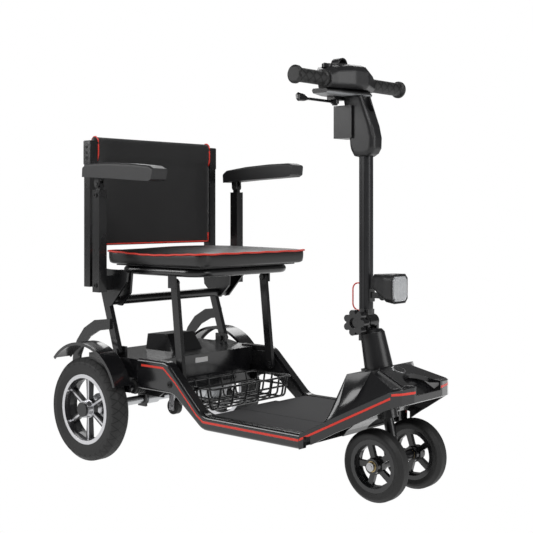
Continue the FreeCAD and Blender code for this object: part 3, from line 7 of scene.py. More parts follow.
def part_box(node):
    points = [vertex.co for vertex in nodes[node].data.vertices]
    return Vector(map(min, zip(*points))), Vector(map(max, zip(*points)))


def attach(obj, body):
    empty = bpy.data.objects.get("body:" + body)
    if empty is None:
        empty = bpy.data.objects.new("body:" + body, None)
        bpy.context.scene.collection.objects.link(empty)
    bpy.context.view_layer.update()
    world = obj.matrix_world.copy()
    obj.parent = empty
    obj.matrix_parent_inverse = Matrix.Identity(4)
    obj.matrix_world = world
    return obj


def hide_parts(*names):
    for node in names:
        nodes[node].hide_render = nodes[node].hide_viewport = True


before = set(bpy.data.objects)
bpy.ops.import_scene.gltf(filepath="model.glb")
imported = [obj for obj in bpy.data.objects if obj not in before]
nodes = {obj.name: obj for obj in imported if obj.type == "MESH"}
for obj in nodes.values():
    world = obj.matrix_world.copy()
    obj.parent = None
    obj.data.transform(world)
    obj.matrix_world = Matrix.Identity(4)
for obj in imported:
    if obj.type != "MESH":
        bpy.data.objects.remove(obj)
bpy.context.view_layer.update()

scene = bpy.context.scene

# ---- Camera -------------------------------------------------------------------------------------------
# A level view from the front right, a little above the seat. The view is shifted down, so that the
# scooter stands in its middle and its upright lines stay upright.
camera = bpy.data.objects.new("camera", bpy.data.cameras.new("camera"))
camera.location = (1.60095, -1.7843, 0.5903)
camera.rotation_euler = (math.radians(90), 0, math.radians(41.549))
camera.data.lens = 69.64
camera.data.shift_y = -0.1043
scene.collection.objects.link(camera)
scene.camera = camera

# ---- Studio -------------------------------------------------------------------------------------------
# A white floor and sky that throw only a little light, and four soft lamps round the scooter. The sky is
# white to the camera alone, and the floor also in glossy surfaces and through clear ones.
WHITE = (1, 1, 1, 1)
SKY_LIGHT = 0.13
FLOOR_SIZE = 6.0
LAMP_AIM = Vector((0, 0, 0.4))


def shader_node(tree, kind, inputs=None, **settings):
    """A new shader node with its settings and the values of its sockets."""
    made = tree.nodes.new(f"ShaderNode{kind}")
    for name, value in settings.items():
        setattr(made, name, value)
    for name, value in (inputs or {}).items():
        made.inputs[name].default_value = value
    return made


def wire(tree, *pairs):
    """Link each output to its input."""
    for source, target in pairs:
        tree.links.new(source, target)


def math_node(tree, operation, first, second=0.0):
    """One sum in a shader, of sockets or plain numbers."""
    made = shader_node(tree, "Math", operation=operation)
    for socket, value in zip(made.inputs, (first, second)):
        if isinstance(value, (int, float)):
            socket.default_value = value
        else:
            wire(tree, (value, socket))
    return made.outputs[0]


scene.view_settings.view_transform = "Standard"
world = bpy.data.worlds.new("studio")
scene.world = world
world.use_nodes = True
tree = world.node_tree
tree.nodes.clear()
rays = shader_node(tree, "LightPath")
dim_sky = shader_node(tree, "Background", {"Color": WHITE, "Strength": SKY_LIGHT})
white_sky = shader_node(tree, "Background", {"Color": WHITE})
sky = shader_node(tree, "MixShader")
out = shader_node(tree, "OutputWorld")
wire(tree, (rays.outputs["Is Camera Ray"], sky.inputs[0]), (dim_sky.outputs[0], sky.inputs[1]),
     (white_sky.outputs[0], sky.inputs[2]), (sky.outputs[0], out.inputs["Surface"]))

bm = bmesh.new()
bmesh.ops.create_grid(bm, x_segments=1, y_segments=1, size=FLOOR_SIZE)
mesh = bpy.data.meshes.new("floor_sheet")
bm.to_mesh(mesh)
bm.free()
floor = bpy.data.objects.new("floor_sheet", mesh)
scene.collection.objects.link(floor)

pale = bpy.data.materials.new("pale_floor")
pale.use_nodes = True
tree = pale.node_tree
surface = tree.nodes["Principled BSDF"]
surface.inputs["Base Color"].default_value = (0.93, 0.93, 0.93, 1)
surface.inputs["Roughness"].default_value = 0.9
rays = shader_node(tree, "LightPath")
glow = shader_node(tree, "Emission")
blend = shader_node(tree, "MixShader")
direct = math_node(tree, "MAXIMUM", rays.outputs["Is Camera Ray"], rays.outputs["Is Transmission Ray"])
seen = math_node(tree, "MAXIMUM", direct, rays.outputs["Is Glossy Ray"])
wire(tree, (seen, blend.inputs[0]), (surface.outputs[0], blend.inputs[1]), (glow.outputs[0], blend.inputs[2]),
     (blend.outputs[0], tree.nodes["Material Output"].inputs["Surface"]))
floor.data.materials.append(pale)

for name, spot, size, power in (
    ("key_lamp", (1.6, -1.2, 2.6), 1.6, 42),
    ("left_lamp", (-1.8, -2.0, 1.6), 1.4, 34),
    ("front_lamp", (3.0, 0.6, 1.2), 1.6, 26),
    ("back_lamp", (-1.6, 1.9, 2.2), 1.8, 30),
):
    lamp = bpy.data.lights.new(name, "AREA")
    lamp.energy = power
    lamp.size = size
    holder = bpy.data.objects.new(name, lamp)
    holder.location = spot
    holder.rotation_euler = (LAMP_AIM - Vector(spot)).to_track_quat("-Z", "Y").to_euler()
    scene.collection.objects.link(holder)

# ---- Steel frame, legs and posts ----------------------------------------------------------------------
# The welded chassis, the fork, the folding legs and the posts are steel tube and plate in a smooth black
# powder coat. The wire basket and the bolts that the pieces turn on have the same black.


def material(name, dark, light, metallic, rough, grain, bump, coat=0.0, patches=9.0, edge=0.0008):
    """A finish with a fine grain, broad patches of colour and gloss, and softened edges."""
    uneven_gloss = 0.06
    made = bpy.data.materials.new(name)
    made.use_nodes = True
    tree = made.node_tree
    surface = tree.nodes["Principled BSDF"]
    surface.inputs["Metallic"].default_value = metallic
    surface.inputs["Coat Weight"].default_value = coat
    surface.inputs["Coat Roughness"].default_value = 0.12
    place = shader_node(tree, "TexCoord").outputs["Object"]
    cloud = shader_node(tree, "TexNoise", {"Scale": patches, "Detail": 3})
    tone = shader_node(tree, "Mix", data_type="RGBA")
    tone.inputs[6].default_value = (*dark, 1)
    tone.inputs[7].default_value = (*light, 1)
    gloss = shader_node(tree, "MapRange", {"To Min": rough - uneven_gloss, "To Max": rough + uneven_gloss})
    fine = shader_node(tree, "TexNoise", {"Scale": grain, "Detail": 2})
    round_off = shader_node(tree, "Bevel", {"Radius": edge}, samples=6)
    lift = shader_node(tree, "Bump", {"Strength": bump, "Distance": 0.0004})
    wire(tree, (round_off.outputs["Normal"], lift.inputs["Normal"]), (place, cloud.inputs["Vector"]),
         (place, fine.inputs["Vector"]), (cloud.outputs["Fac"], tone.inputs[0]),
         (tone.outputs[2], surface.inputs["Base Color"]), (cloud.outputs["Fac"], gloss.inputs["Value"]),
         (gloss.outputs["Result"], surface.inputs["Roughness"]), (fine.outputs["Fac"], lift.inputs["Height"]),
         (lift.outputs["Normal"], surface.inputs["Normal"]))
    return made


def dress(finish, *names):
    """Give nodes of the part one finish."""
    for name in names:
        mesh = nodes[name].data
        mesh.materials.clear()
        mesh.materials.append(finish)


powder = material("powder_coat", (0.006, 0.006, 0.0065), (0.010, 0.010, 0.011), 0, 0.28, 1900, 0.15,
                  coat=0.25)
dress(powder, "chassis_frame", "steering_fork", "tiller_knuckle", "handlebar", "lamp_bracket", "front_legs",
      "rear_legs", "seat_frame", "armrest_posts", "back_uprights", "basket", "pivot_bolts",
      "headset_bearings")

# ---- Axles, motors, battery and rollers ---------------------------------------------------------------
# The drive motors and the beam between them are cast alloy with a fine sand texture. The front axle and
# the roller brackets are zinc plated, and the battery and the controller have plain dark cases. The small
# transport rollers and the blocks that hold the fenders are soft rubber.
zinc = material("zinc_plate", (0.42, 0.42, 0.43), (0.56, 0.56, 0.57), 1, 0.34, 800, 0.2)
alloy = material("cast_alloy", (0.46, 0.47, 0.48), (0.60, 0.61, 0.62), 1, 0.36, 500, 0.3)
brass = material("bearing_ring", (0.45, 0.34, 0.16), (0.56, 0.44, 0.22), 1, 0.36, 600, 0.1)
case = material("battery_case", (0.03, 0.03, 0.033), (0.04, 0.04, 0.043), 0, 0.5, 900, 0.3)
soft_rubber = material("soft_rubber", (0.014, 0.014, 0.014), (0.024, 0.024, 0.024), 0, 0.55, 900, 0.4)
dress(zinc, "front_axle", "roller_brackets")
dress(alloy, "drive_motors", "rear_axle_beam")
dress(brass, "front_bearings")
dress(case, "battery_pack", "motor_controller")
dress(soft_rubber, "fender_mounts", "transport_roller_right", "transport_roller_left")

# ---- Rails, hood, rear box and fenders ----------------------------------------------------------------
# Glossy black mouldings, screwed to the frame, with a red stripe let into the rails and round the nose. The
# box has a blank plate on its front wall, the hood a plain disc with a metal rim, and each rail one screw.
PLATE_RIGHT, PLATE_LEFT = -0.044, -0.002
PLATE_TOP, PLATE_BOTTOM = 0.050, 0.062
PLATE_THICK = 0.0006
PLATE_EDGE = 0.0002
DISC_SETBACK = 0.073
DISC_LIFT = 0.0012
DISC_RIM = ((-0.001, 0.0155), (0.0010, 0.0155), (0.0016, 0.0145), (0.0016, 0))
DISC_FACE = ((0, 0.0128), (0.0008, 0.0128), (0.001, 0.0120), (0.001, 0))
SCREW_BACK, SCREW_DROP = 0.1095, 0.0495
SCREW_HEAD = ((0, 0.008), (0.0015, 0.0075), (0.0015, 0.005), (0.003, 0.005), (0.003, 0.0025), (0.001, 0.0025),
              (0.001, 0))
gloss_moulding = material("gloss_moulding", (0.005, 0.005, 0.006), (0.008, 0.008, 0.009), 0, 0.2, 900, 0.05,
                          coat=0.4)
red_trim = material("red_trim", (0.70, 0.030, 0.018), (0.78, 0.045, 0.025), 0, 0.34, 900, 0.1)
plate_white = material("blank_plate", (0.62, 0.62, 0.62), (0.70, 0.70, 0.70), 0, 0.45, 1500, 0.05)
rim_silver = material("disc_rim", (0.5, 0.5, 0.51), (0.6, 0.6, 0.61), 1, 0.3, 900, 0.05)
bolt_black = material("bolt_black", (0.02, 0.02, 0.02), (0.035, 0.035, 0.035), 0.6, 0.36, 800, 0.1)
dress(gloss_moulding, "front_hood", "rear_box", "side_rail_right", "side_rail_left", "fender_right",
      "fender_left")
dress(red_trim, "side_stripes")


def piece(name, bm, finish, body, smooth=True):
    """Turn a finished bmesh into a named object that rides on a body."""
    bmesh.ops.recalc_face_normals(bm, faces=bm.faces)
    mesh = bpy.data.meshes.new(name)
    bm.to_mesh(mesh)
    bm.free()
    made = bpy.data.objects.new(name, mesh)
    scene.collection.objects.link(made)
    mesh.materials.append(finish)
    for face in mesh.polygons:
        face.use_smooth = smooth
    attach(made, body)
    return made


def turned(name, centre, axis, profile, finish, body, sides=32):
    """A closed turned piece: pairs of distance along its axis and radius, from one end to the other."""
    axis = Vector(axis).normalized()
    across = axis.orthogonal().normalized()
    bm = bmesh.new()
    outline = [bm.verts.new(Vector(centre) + axis * along + across * radius) for along, radius in profile]
    edges = [bm.edges.new(pair) for pair in zip(outline, outline[1:])]
    bmesh.ops.spin(bm, geom=outline + edges, cent=Vector(centre), axis=axis, dvec=(0, 0, 0), angle=math.tau,
                   steps=sides, use_merge=True)
    bmesh.ops.remove_doubles(bm, verts=bm.verts, dist=1e-6)
    bmesh.ops.holes_fill(bm, edges=bm.edges, sides=0)
    return piece(name, bm, finish, body, smooth=False)


box_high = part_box("rear_box")[1]
bm = bmesh.new()
bmesh.ops.create_cube(bm, size=1)
bmesh.ops.scale(bm, verts=bm.verts, vec=(PLATE_THICK, PLATE_LEFT - PLATE_RIGHT, PLATE_BOTTOM - PLATE_TOP))
plate_middle = (box_high.x + PLATE_THICK / 2, (PLATE_RIGHT + PLATE_LEFT) / 2,
                box_high.z - (PLATE_TOP + PLATE_BOTTOM) / 2)
bmesh.ops.translate(bm, verts=bm.verts, vec=plate_middle)
bmesh.ops.bevel(bm, geom=list(bm.edges), offset=PLATE_EDGE, segments=2, affect="EDGES", profile=0.5,
                material=-1)
piece("blank_label", bm, plate_white, "chassis", smooth=False)

hood_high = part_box("front_hood")[1]
over_disc = Vector((hood_high.x - DISC_SETBACK, 0, 1))
graph = bpy.context.evaluated_depsgraph_get()
_, disc_spot, upward, _ = nodes["front_hood"].ray_cast(over_disc, Vector((0, 0, -1)), depsgraph=graph)
turned("hood_disc_rim", disc_spot, upward, DISC_RIM, rim_silver, "chassis")
turned("hood_disc", disc_spot + upward * DISC_LIFT, upward, DISC_FACE, gloss_moulding, "chassis")

rail_low, rail_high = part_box("side_rail_right")
for side, way in (("right", -1), ("left", 1)):
    spot = (rail_low.x + SCREW_BACK, way * -rail_low.y, rail_high.z - SCREW_DROP)
    turned(f"rail_bolt_{side}", spot, (0, way, 0), SCREW_HEAD, bolt_black, "chassis")

# ---- Deck ---------------------------------------------------------------------------------------------
# A black plastic floor tray with raised strips, and two rubber mats let into it. Both are rough with fine
# granules, so that a shoe doesn't slip.
matting = material("floor_matting", (0.02, 0.02, 0.022), (0.05, 0.05, 0.052), 0, 0.78, 650, 1.0, patches=420)
dress(matting, "floor_mat", "floor_deck")

# ---- Wheels -------------------------------------------------------------------------------------------
# Black rims with rubber tyres. The rear rims are cast alloy, with the lip, a ring round the hub and
# a rib along each spoke cut bright, and the rear tyres have crossing grooves moulded into their tread,
# painted darker as painted shade.
SPOKES = 6
LIP_START = 0.0735
HUB_START, HUB_END = 0.0172, 0.0215
RIB_HALF = 0.0023
SPOKE_FACE = 0.0045
TREAD_BAND = 0.016
TREAD_GROOVES, TREAD_SLANT, TREAD_WIDTH = 34, 38, 0.062
# Painted shade: the near-black colour laid into the grooves of the tyres and grips.
GROOVE_SHADE = (0.0012, 0.0012, 0.0012)
GROOVE_DEPTH = 0.002
tread = material("tyre_rubber", (0.008, 0.008, 0.008), (0.014, 0.014, 0.014), 0, 0.62, 700, 0.4)
dress(tread, "front_tyre_right", "front_tyre_left")
dress(gloss_moulding, "front_rim_right", "front_rim_left")


def around_axle(tree, centre):
    """Distance from an axle along Y, turns round it, and place along it, for a shader."""
    shift = shader_node(tree, "VectorMath", operation="SUBTRACT")
    shift.inputs[1].default_value = centre
    split = shader_node(tree, "SeparateXYZ")
    place = shader_node(tree, "TexCoord")
    wire(tree, (place.outputs["Object"], shift.inputs[0]), (shift.outputs[0], split.inputs[0]))
    x, y, z = split.outputs
    squares = math_node(tree, "ADD", math_node(tree, "MULTIPLY", x, x), math_node(tree, "MULTIPLY", z, z))
    turns = math_node(tree, "DIVIDE", math_node(tree, "ARCTAN2", z, x), math.tau)
    return math_node(tree, "SQRT", squares), turns, y


def lay_over(made, mask, color, metallic=0.0, sunk=0.0):
    """Show another colour where a mask is 1, and sink the surface there."""
    tree = made.node_tree
    surface = tree.nodes["Principled BSDF"]
    tone = shader_node(tree, "Mix", data_type="RGBA")
    tone.inputs[7].default_value = (*color, 1)
    wire(tree, (surface.inputs["Base Color"].links[0].from_socket, tone.inputs[6]), (mask, tone.inputs[0]))
    wire(tree, (tone.outputs[2], surface.inputs["Base Color"]))
    if metallic:
        wire(tree, (math_node(tree, "MULTIPLY", mask, metallic), surface.inputs["Metallic"]))
    if sunk:
        lift = shader_node(tree, "Bump", {"Strength": 1.0, "Distance": sunk}, invert=True)
        wire(tree, (surface.inputs["Normal"].links[0].from_socket, lift.inputs["Normal"]))
        wire(tree, (mask, lift.inputs["Height"]), (lift.outputs["Normal"], surface.inputs["Normal"]))


def inside_band(tree, value, low, high):
    """1 where a value lies between two limits, for a shader."""
    return math_node(tree, "MULTIPLY", math_node(tree, "GREATER_THAN", value, low),
                     math_node(tree, "LESS_THAN", value, high))


def crossed_grooves(made, centre, count, slant, from_radius, width):
    """Grooves that climb both ways round a tyre or grip and cross each other, painted darker as painted
    shade.
    """
    tree = made.node_tree
    radius, turns, along = around_axle(tree, centre)
    lines = []
    for way in (slant, -slant):
        climb = math_node(tree, "MULTIPLY", along, way)
        steps = math_node(tree, "ADD", math_node(tree, "MULTIPLY", turns, count), climb)
        lines.append(math_node(tree, "LESS_THAN", math_node(tree, "PINGPONG", steps, 0.5), width))
    either = math_node(tree, "MAXIMUM", *lines)
    mask = math_node(tree, "MULTIPLY", either, math_node(tree, "GREATER_THAN", radius, from_radius))
    lay_over(made, mask, GROOVE_SHADE, sunk=GROOVE_DEPTH)


for side, way in (("right", -1), ("left", 1)):
    low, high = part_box(f"rear_tyre_{side}")
    axle = (low + high) / 2
    rim = material(f"rim_{side}", (0.02, 0.02, 0.022), (0.03, 0.03, 0.032), 0.3, 0.3, 700, 0.1)
    tree = rim.node_tree
    radius, turns, along = around_axle(tree, axle)
    lip = math_node(tree, "GREATER_THAN", radius, LIP_START)
    hub_ring = inside_band(tree, radius, HUB_START, HUB_END)
    from_gap = math_node(tree, "PINGPONG", math_node(tree, "MULTIPLY", turns, SPOKES), 0.5)
    off_spoke = math_node(tree, "MULTIPLY", math_node(tree, "SUBTRACT", 0.5, from_gap), math.tau / SPOKES)
    on_rib = math_node(tree, "LESS_THAN", math_node(tree, "MULTIPLY", off_spoke, radius), RIB_HALF)
    on_face = math_node(tree, "GREATER_THAN", math_node(tree, "MULTIPLY", along, way), SPOKE_FACE)
    rib = math_node(tree, "MULTIPLY", math_node(tree, "MULTIPLY", on_rib, on_face),
                    math_node(tree, "GREATER_THAN", radius, HUB_START))
    cut_bright = math_node(tree, "MAXIMUM", math_node(tree, "MAXIMUM", lip, hub_ring), rib)
    lay_over(rim, cut_bright, (0.66, 0.66, 0.68), metallic=0.9)
    dress(rim, f"rear_rim_{side}")

    rubber = material(f"rear_tread_{side}", (0.014, 0.014, 0.014), (0.022, 0.022, 0.022), 0, 0.62, 700, 0.4)
    crossed_grooves(rubber, axle, TREAD_GROOVES, TREAD_SLANT, (high.z - low.z) / 2 - TREAD_BAND, TREAD_WIDTH)
    dress(rubber, f"rear_tyre_{side}")

# ---- Tiller -------------------------------------------------------------------------------------------
# A dark anodised oval tube with two grooves pressed down each side, painted darker as painted shade. A red
# cable lies along it, and a star knob of black plastic clamps its knuckle above the plastic cover of the
# column.
NEAR_GROOVE = (0.0085, 0.0098)
FAR_GROOVE = (0.0165, 0.0178)
moulding = material("black_moulding", (0.007, 0.007, 0.008), (0.011, 0.011, 0.012), 0, 0.32, 1400, 0.18)
low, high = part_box("tiller_tube")
grooved = material("grooved_tube", (0.018, 0.018, 0.02), (0.028, 0.028, 0.03), 0.4, 0.34, 1200, 0.08)
tree = grooved.node_tree
split = shader_node(tree, "SeparateXYZ")
wire(tree, (shader_node(tree, "TexCoord").outputs["Object"], split.inputs[0]))
from_front = math_node(tree, "SUBTRACT", high.x, split.outputs[0])
groove_shade_mask = math_node(tree, "MAXIMUM", inside_band(tree, from_front, *NEAR_GROOVE),
                    inside_band(tree, from_front, *FAR_GROOVE))
# Painted shade: the pressed grooves are painted near black.
lay_over(grooved, groove_shade_mask, (0.004, 0.004, 0.004), sunk=0.001)
dress(grooved, "tiller_tube")
dress(red_trim, "tiller_cable")
dress(gloss_moulding, "star_knob")
dress(moulding, "column_cover")

# ---- Headlight ----------------------------------------------------------------------------------------
# A smooth black housing with soft corners, closed by a moulded clear lens. The lens has fine upright ribs
# that spread the light, so it looks pale and silvery when the lamp is off.
shell_moulding = material("shell_moulding", (0.008, 0.008, 0.009), (0.012, 0.012, 0.013), 0, 0.36, 1400, 0.15,
                          edge=0.007)
dress(shell_moulding, "lamp_housing")
lens = bpy.data.materials.new("clear_lens")
lens.use_nodes = True
tree = lens.node_tree
surface = tree.nodes["Principled BSDF"]
surface.inputs["Transmission Weight"].default_value = 0.55
surface.inputs["IOR"].default_value = 1.45
place = shader_node(tree, "TexCoord")
ribs = shader_node(tree, "TexWave", {"Scale": 60}, bands_direction="Y")
tone = shader_node(tree, "Mix", data_type="RGBA")
tone.inputs[6].default_value = (0.72, 0.74, 0.76, 1)
tone.inputs[7].default_value = (0.92, 0.93, 0.95, 1)
lift = shader_node(tree, "Bump", {"Strength": 0.3, "Distance": 0.001})
shine = shader_node(tree, "MapRange", {"To Min": 0.06, "To Max": 0.16})
wire(tree, (place.outputs["Object"], ribs.inputs["Vector"]), (ribs.outputs["Fac"], tone.inputs[0]),
     (tone.outputs[2], surface.inputs["Base Color"]), (ribs.outputs["Fac"], lift.inputs["Height"]),
     (lift.outputs["Normal"], surface.inputs["Normal"]), (ribs.outputs["Fac"], shine.inputs["Value"]),
     (shine.outputs["Result"], surface.inputs["Roughness"]))
dress(lens, "lamp_lens")

# ---- Handlebar console --------------------------------------------------------------------------------
# Two black mouldings with soft corners carry the dial, the key and the throttle, and the controller hangs
# below. The console's base is black, and its faces that look down are painted grey as painted light. The
# grips are rubber with crossing grooves, painted darker as painted shade.
LOOKS_DOWN, LOOKS_ASIDE = -0.6, -0.3
GRIP_GROOVES, GRIP_SLANT, GRIP_WIDTH = 4, 42, 0.10
GRIP_CORE = 0.0135
dress(shell_moulding, "neck_shell", "console_shell")
dress(moulding, "controller_box", "throttle_mount", "speed_dial")
dress(gloss_moulding, "throttle_lever")
dress(zinc, "ignition_key")
# Painted light: grey on the console base's faces that look down, black on the rest.
painted_underlight_moulding = material("painted_underlight_moulding", (0.30, 0.31, 0.32), (0.36, 0.37, 0.38), 0, 0.42, 1200, 0.2)
tree = painted_underlight_moulding.node_tree
surface = tree.nodes["Principled BSDF"]
facing = shader_node(tree, "SeparateXYZ")
below = shader_node(tree, "MapRange", {
    "From Min": LOOKS_DOWN, "From Max": LOOKS_ASIDE, "To Min": 1, "To Max": 0})
underside_light_mix = shader_node(tree, "Mix", data_type="RGBA")
underside_light_mix.inputs[6].default_value = (0.010, 0.010, 0.011, 1)
wire(tree, (shader_node(tree, "TexCoord").outputs["Normal"], facing.inputs["Vector"]),
     (facing.outputs["Z"], below.inputs["Value"]), (below.outputs["Result"], underside_light_mix.inputs[0]),
     (surface.inputs["Base Color"].links[0].from_socket, underside_light_mix.inputs[7]))
wire(tree, (underside_light_mix.outputs[2], surface.inputs["Base Color"]))
dress(painted_underlight_moulding, "console_base")
low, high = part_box("grips")
grip_rubber = material("grip_rubber", (0.016, 0.016, 0.016), (0.024, 0.024, 0.024), 0, 0.55, 900, 0.4)
crossed_grooves(grip_rubber, (low + high) / 2, GRIP_GROOVES, GRIP_SLANT, GRIP_CORE, GRIP_WIDTH)
dress(grip_rubber, "grips")

# ---- Seat cushion -------------------------------------------------------------------------------------
# Foam in black leatherette on a moulded pan. The cover is sewn from a top panel and a side band, with a
# red piping cord in the seam, and it swells a little between its corners.
CORNER = 0.028
BAND_INSET = 0.003
CLEAR_OF_PAN = 0.0005
SEAM_DROP = 0.0062
SEAM_SAG = 0.0052
PUCKER = 0.0005
PUCKER_ALONG, PUCKER_ACROSS = 140, 90
HELD_BASE, HELD_SEAM, HELD_EDGE = 0.004, 0.003, 0.006
SIDE_BAND = ((0.0, 0.010), (0.12, 0.005), (0.4, BAND_INSET), (0.8, BAND_INSET), (1.0, 0.0015))
TOP_PANEL = ((0.97, 0.0012), (0.9, 0.0026), (0.7, 0.0036), (0.4, 0.0040), (0.1, 0.0040))
CLOTH_FRAMES = 20
PIPING_INSET = 0.0012
PIPING_RADIUS = 0.0022
PIPING_STEP = 0.012
leather = material("leatherette", (0.011, 0.0105, 0.0105), (0.018, 0.0175, 0.0175), 0, 0.44, 520, 0.5,
                   coat=0.1)
piping_red = material("piping_cord", (0.72, 0.035, 0.02), (0.80, 0.05, 0.03), 0, 0.42, 1500, 0.5)
dress(moulding, "seat_pan")
low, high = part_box("seat_cushion")
middle = (low + high) / 2
base = low.z + CLEAR_OF_PAN


def rounded_outline(low, high, corner, inset, steps=9):
    """Points round a rectangle with round corners, seen from above, anticlockwise."""
    points = []
    for index, (x, y) in enumerate(((high.x, high.y), (low.x, high.y), (low.x, low.y), (high.x, low.y))):
        away = Vector((1 if x == high.x else -1, 1 if y == high.y else -1))
        centre = Vector((x, y)) - away * corner
        for step in range(steps + 1):
            angle = math.radians(90 * index + 90 * step / steps)
            points.append(centre + Vector((math.cos(angle), math.sin(angle))) * (corner - inset))
    return points


def skin(bm, rings, closed=False):
    """Lay faces from each ring of vertices to the next, and from the last to the first if closed."""
    followers = rings[1:] + rings[:1] if closed else rings[1:]
    for ring, following in zip(rings, followers):
        for index in range(len(ring)):
            after = (index + 1) % len(ring)
            bm.faces.new((ring[index], ring[after], following[after], following[index]))


def cord_along(name, points, radius, body, closed=True, sides=10):
    """A thin round piping cord through the points."""
    bm = bmesh.new()
    rings = []
    count = len(points)
    for index, point in enumerate(points):
        before = points[index - 1] if closed or index else point
        after = points[(index + 1) % count] if closed or index < count - 1 else point
        along = (after - before).normalized()
        side = along.cross(Vector((0, 0, 1)))
        side = side.normalized() if side.length > 0.05 else Vector((0, 1, 0))
        up = side.cross(along).normalized()
        rings.append([
            bm.verts.new(point + (side * math.cos(turn) + up * math.sin(turn)) * radius)
            for turn in (math.tau * step / sides for step in range(sides))
        ])
    skin(bm, rings, closed)
    if not closed:
        bm.faces.new(rings[0])
        bm.faces.new(rings[-1])
    piece(name, bm, piping_red, body)


def sewn_edge(x, y):
    """Height of the seam: it sags between the corners of the long sides and puckers a little."""
    share = min(1, max(0, (x - low.x) / (high.x - low.x)))
    sag = SEAM_SAG * math.sin(math.pi * share) ** 2 * (abs(y) / high.y) ** 4
    return high.z - SEAM_DROP - sag + PUCKER * math.sin(x * PUCKER_ALONG + y * PUCKER_ACROSS)


def stitched_down(point):
    """Whether a point of the cover lies on the pan or in the seam, where it can't swell."""
    to_edge = max(abs(point.x - middle.x) - (high.x - low.x) / 2, abs(point.y) - high.y)
    in_seam = abs(point.z - sewn_edge(point.x, point.y)) < HELD_SEAM and to_edge > -HELD_EDGE
    return point.z < base + HELD_BASE or in_seam


def inflate(made, voxel, pressure, cap, held):
    """Blow a closed shape up as cloth, keep every point within a cap, and leave a plain mesh."""
    remesh = made.modifiers.new("remesh", "REMESH")
    remesh.mode = "VOXEL"
    remesh.voxel_size = voxel
    graph = bpy.context.evaluated_depsgraph_get()
    solid = bpy.data.meshes.new_from_object(made.evaluated_get(graph))
    made.modifiers.clear()
    made.data = solid
    for face in solid.polygons:
        face.use_smooth = True
    start = [vertex.co.copy() for vertex in solid.vertices]
    group = made.vertex_groups.new(name="held")
    group.add([vertex.index for vertex in solid.vertices if held(vertex.co)], 1.0, "ADD")
    cloth = made.modifiers.new("cloth", "CLOTH")
    cloth.settings.use_pressure = True
    cloth.settings.uniform_pressure_force = pressure
    cloth.settings.effector_weights.gravity = 0
    cloth.settings.vertex_group_mass = "held"
    cloth.point_cache.frame_start = 1
    cloth.point_cache.frame_end = CLOTH_FRAMES
    for tick in range(1, CLOTH_FRAMES + 1):
        scene.frame_set(tick)
    graph = bpy.context.evaluated_depsgraph_get()
    blown = bpy.data.meshes.new_from_object(made.evaluated_get(graph))
    for vertex, before, after in zip(solid.vertices, start, blown.vertices):
        moved = after.co - before
        if moved.length > cap:
            moved = moved.normalized() * cap
        vertex.co = before + moved
    made.modifiers.clear()
    made.vertex_groups.clear()
    bpy.data.meshes.remove(blown)
    scene.frame_set(1)


bm = bmesh.new()
layers = []
for share, inset in SIDE_BAND:
    layers.append([
        bm.verts.new((spot.x, spot.y, base + (sewn_edge(spot.x, spot.y) - base) * share))
        for spot in rounded_outline(low, high, CORNER, inset)
    ])
seam = [vertex.co.copy() for vertex in layers[-1]]
seam_height = high.z - SEAM_DROP
for share, rise in TOP_PANEL:
    layers.append([
        bm.verts.new((middle.x + (spot.x - middle.x) * share, middle.y + (spot.y - middle.y) * share,
                      seam_height + (spot.z - seam_height) * share ** 3 + rise))
        for spot in seam
    ])
skin(bm, layers)
bm.faces.new(layers[-1])
bm.faces.new(list(reversed(layers[0])))
cushion = piece("seat_cushion_cover", bm, leather, "seat")
inflate(cushion, voxel=0.0045, pressure=4.0, cap=0.006, held=stitched_down)
for vertex in cushion.data.vertices:
    vertex.co.z = max(vertex.co.z, base)
cushion.data.materials.clear()
cushion.data.materials.append(leather)
smooth = cushion.modifiers.new("finish", "SUBSURF")
smooth.levels = 1
smooth.render_levels = 1
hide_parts("seat_cushion")

route = []
edge = rounded_outline(low, high, CORNER, PIPING_INSET, steps=12)
for spot, following in zip(edge, edge[1:] + edge[:1]):
    parts_count = max(1, round((following - spot).length / PIPING_STEP))
    for step in range(parts_count):
        x, y = spot.lerp(following, step / parts_count)
        route.append(Vector((x, y, sewn_edge(x, y))))
cord_along("seat_piping", route, PIPING_RADIUS, "seat")

# ---- Back sling ---------------------------------------------------------------------------------------
# Black woven fabric, drawn over the two uprights and doubled over at the top. Red piping runs down both
# sides of the top flap and round the bottom hem, and the fabric dishes a little between the uprights.
COLUMNS, ROWS = 40, 34
DISH = 0.013
RIPPLE = 0.0012
FLAP = 0.058
FLAP_EDGE = 0.012
HEM_SHARE = 0.12
ROLL_SHARE = 0.025
ROLL_THIN, FLAP_THIN = 0.55, 0.45
HEM_HEIGHT = 0.012
FABRIC_HALF, HEM_HALF, FLAP_HALF = 0.0018, 0.0055, 0.0078
SIDE_PIPING = 0.988
HEM_PIPING = 0.985
BACK_PIPING_RADIUS = 0.0019
PIPING_LIFT, HEM_LIFT = 0.0012, 0.001
weave = bpy.data.materials.new("woven_back")
weave.use_nodes = True
tree = weave.node_tree
surface = tree.nodes["Principled BSDF"]
surface.inputs["Sheen Weight"].default_value = 0.25
surface.inputs["Sheen Roughness"].default_value = 0.5
place = shader_node(tree, "TexCoord")
rows = shader_node(tree, "TexWave", {"Scale": 160}, bands_direction="Z")
columns = shader_node(tree, "TexWave", {"Scale": 160}, bands_direction="Y")
cross = math_node(tree, "MULTIPLY", rows.outputs["Fac"], columns.outputs["Fac"])
tone = shader_node(tree, "Mix", data_type="RGBA")
tone.inputs[6].default_value = (0.003, 0.003, 0.0035, 1)
tone.inputs[7].default_value = (0.010, 0.010, 0.011, 1)
lift = shader_node(tree, "Bump", {"Strength": 0.5, "Distance": 0.0006})
dull = shader_node(tree, "MapRange", {"To Min": 0.85, "To Max": 0.7})
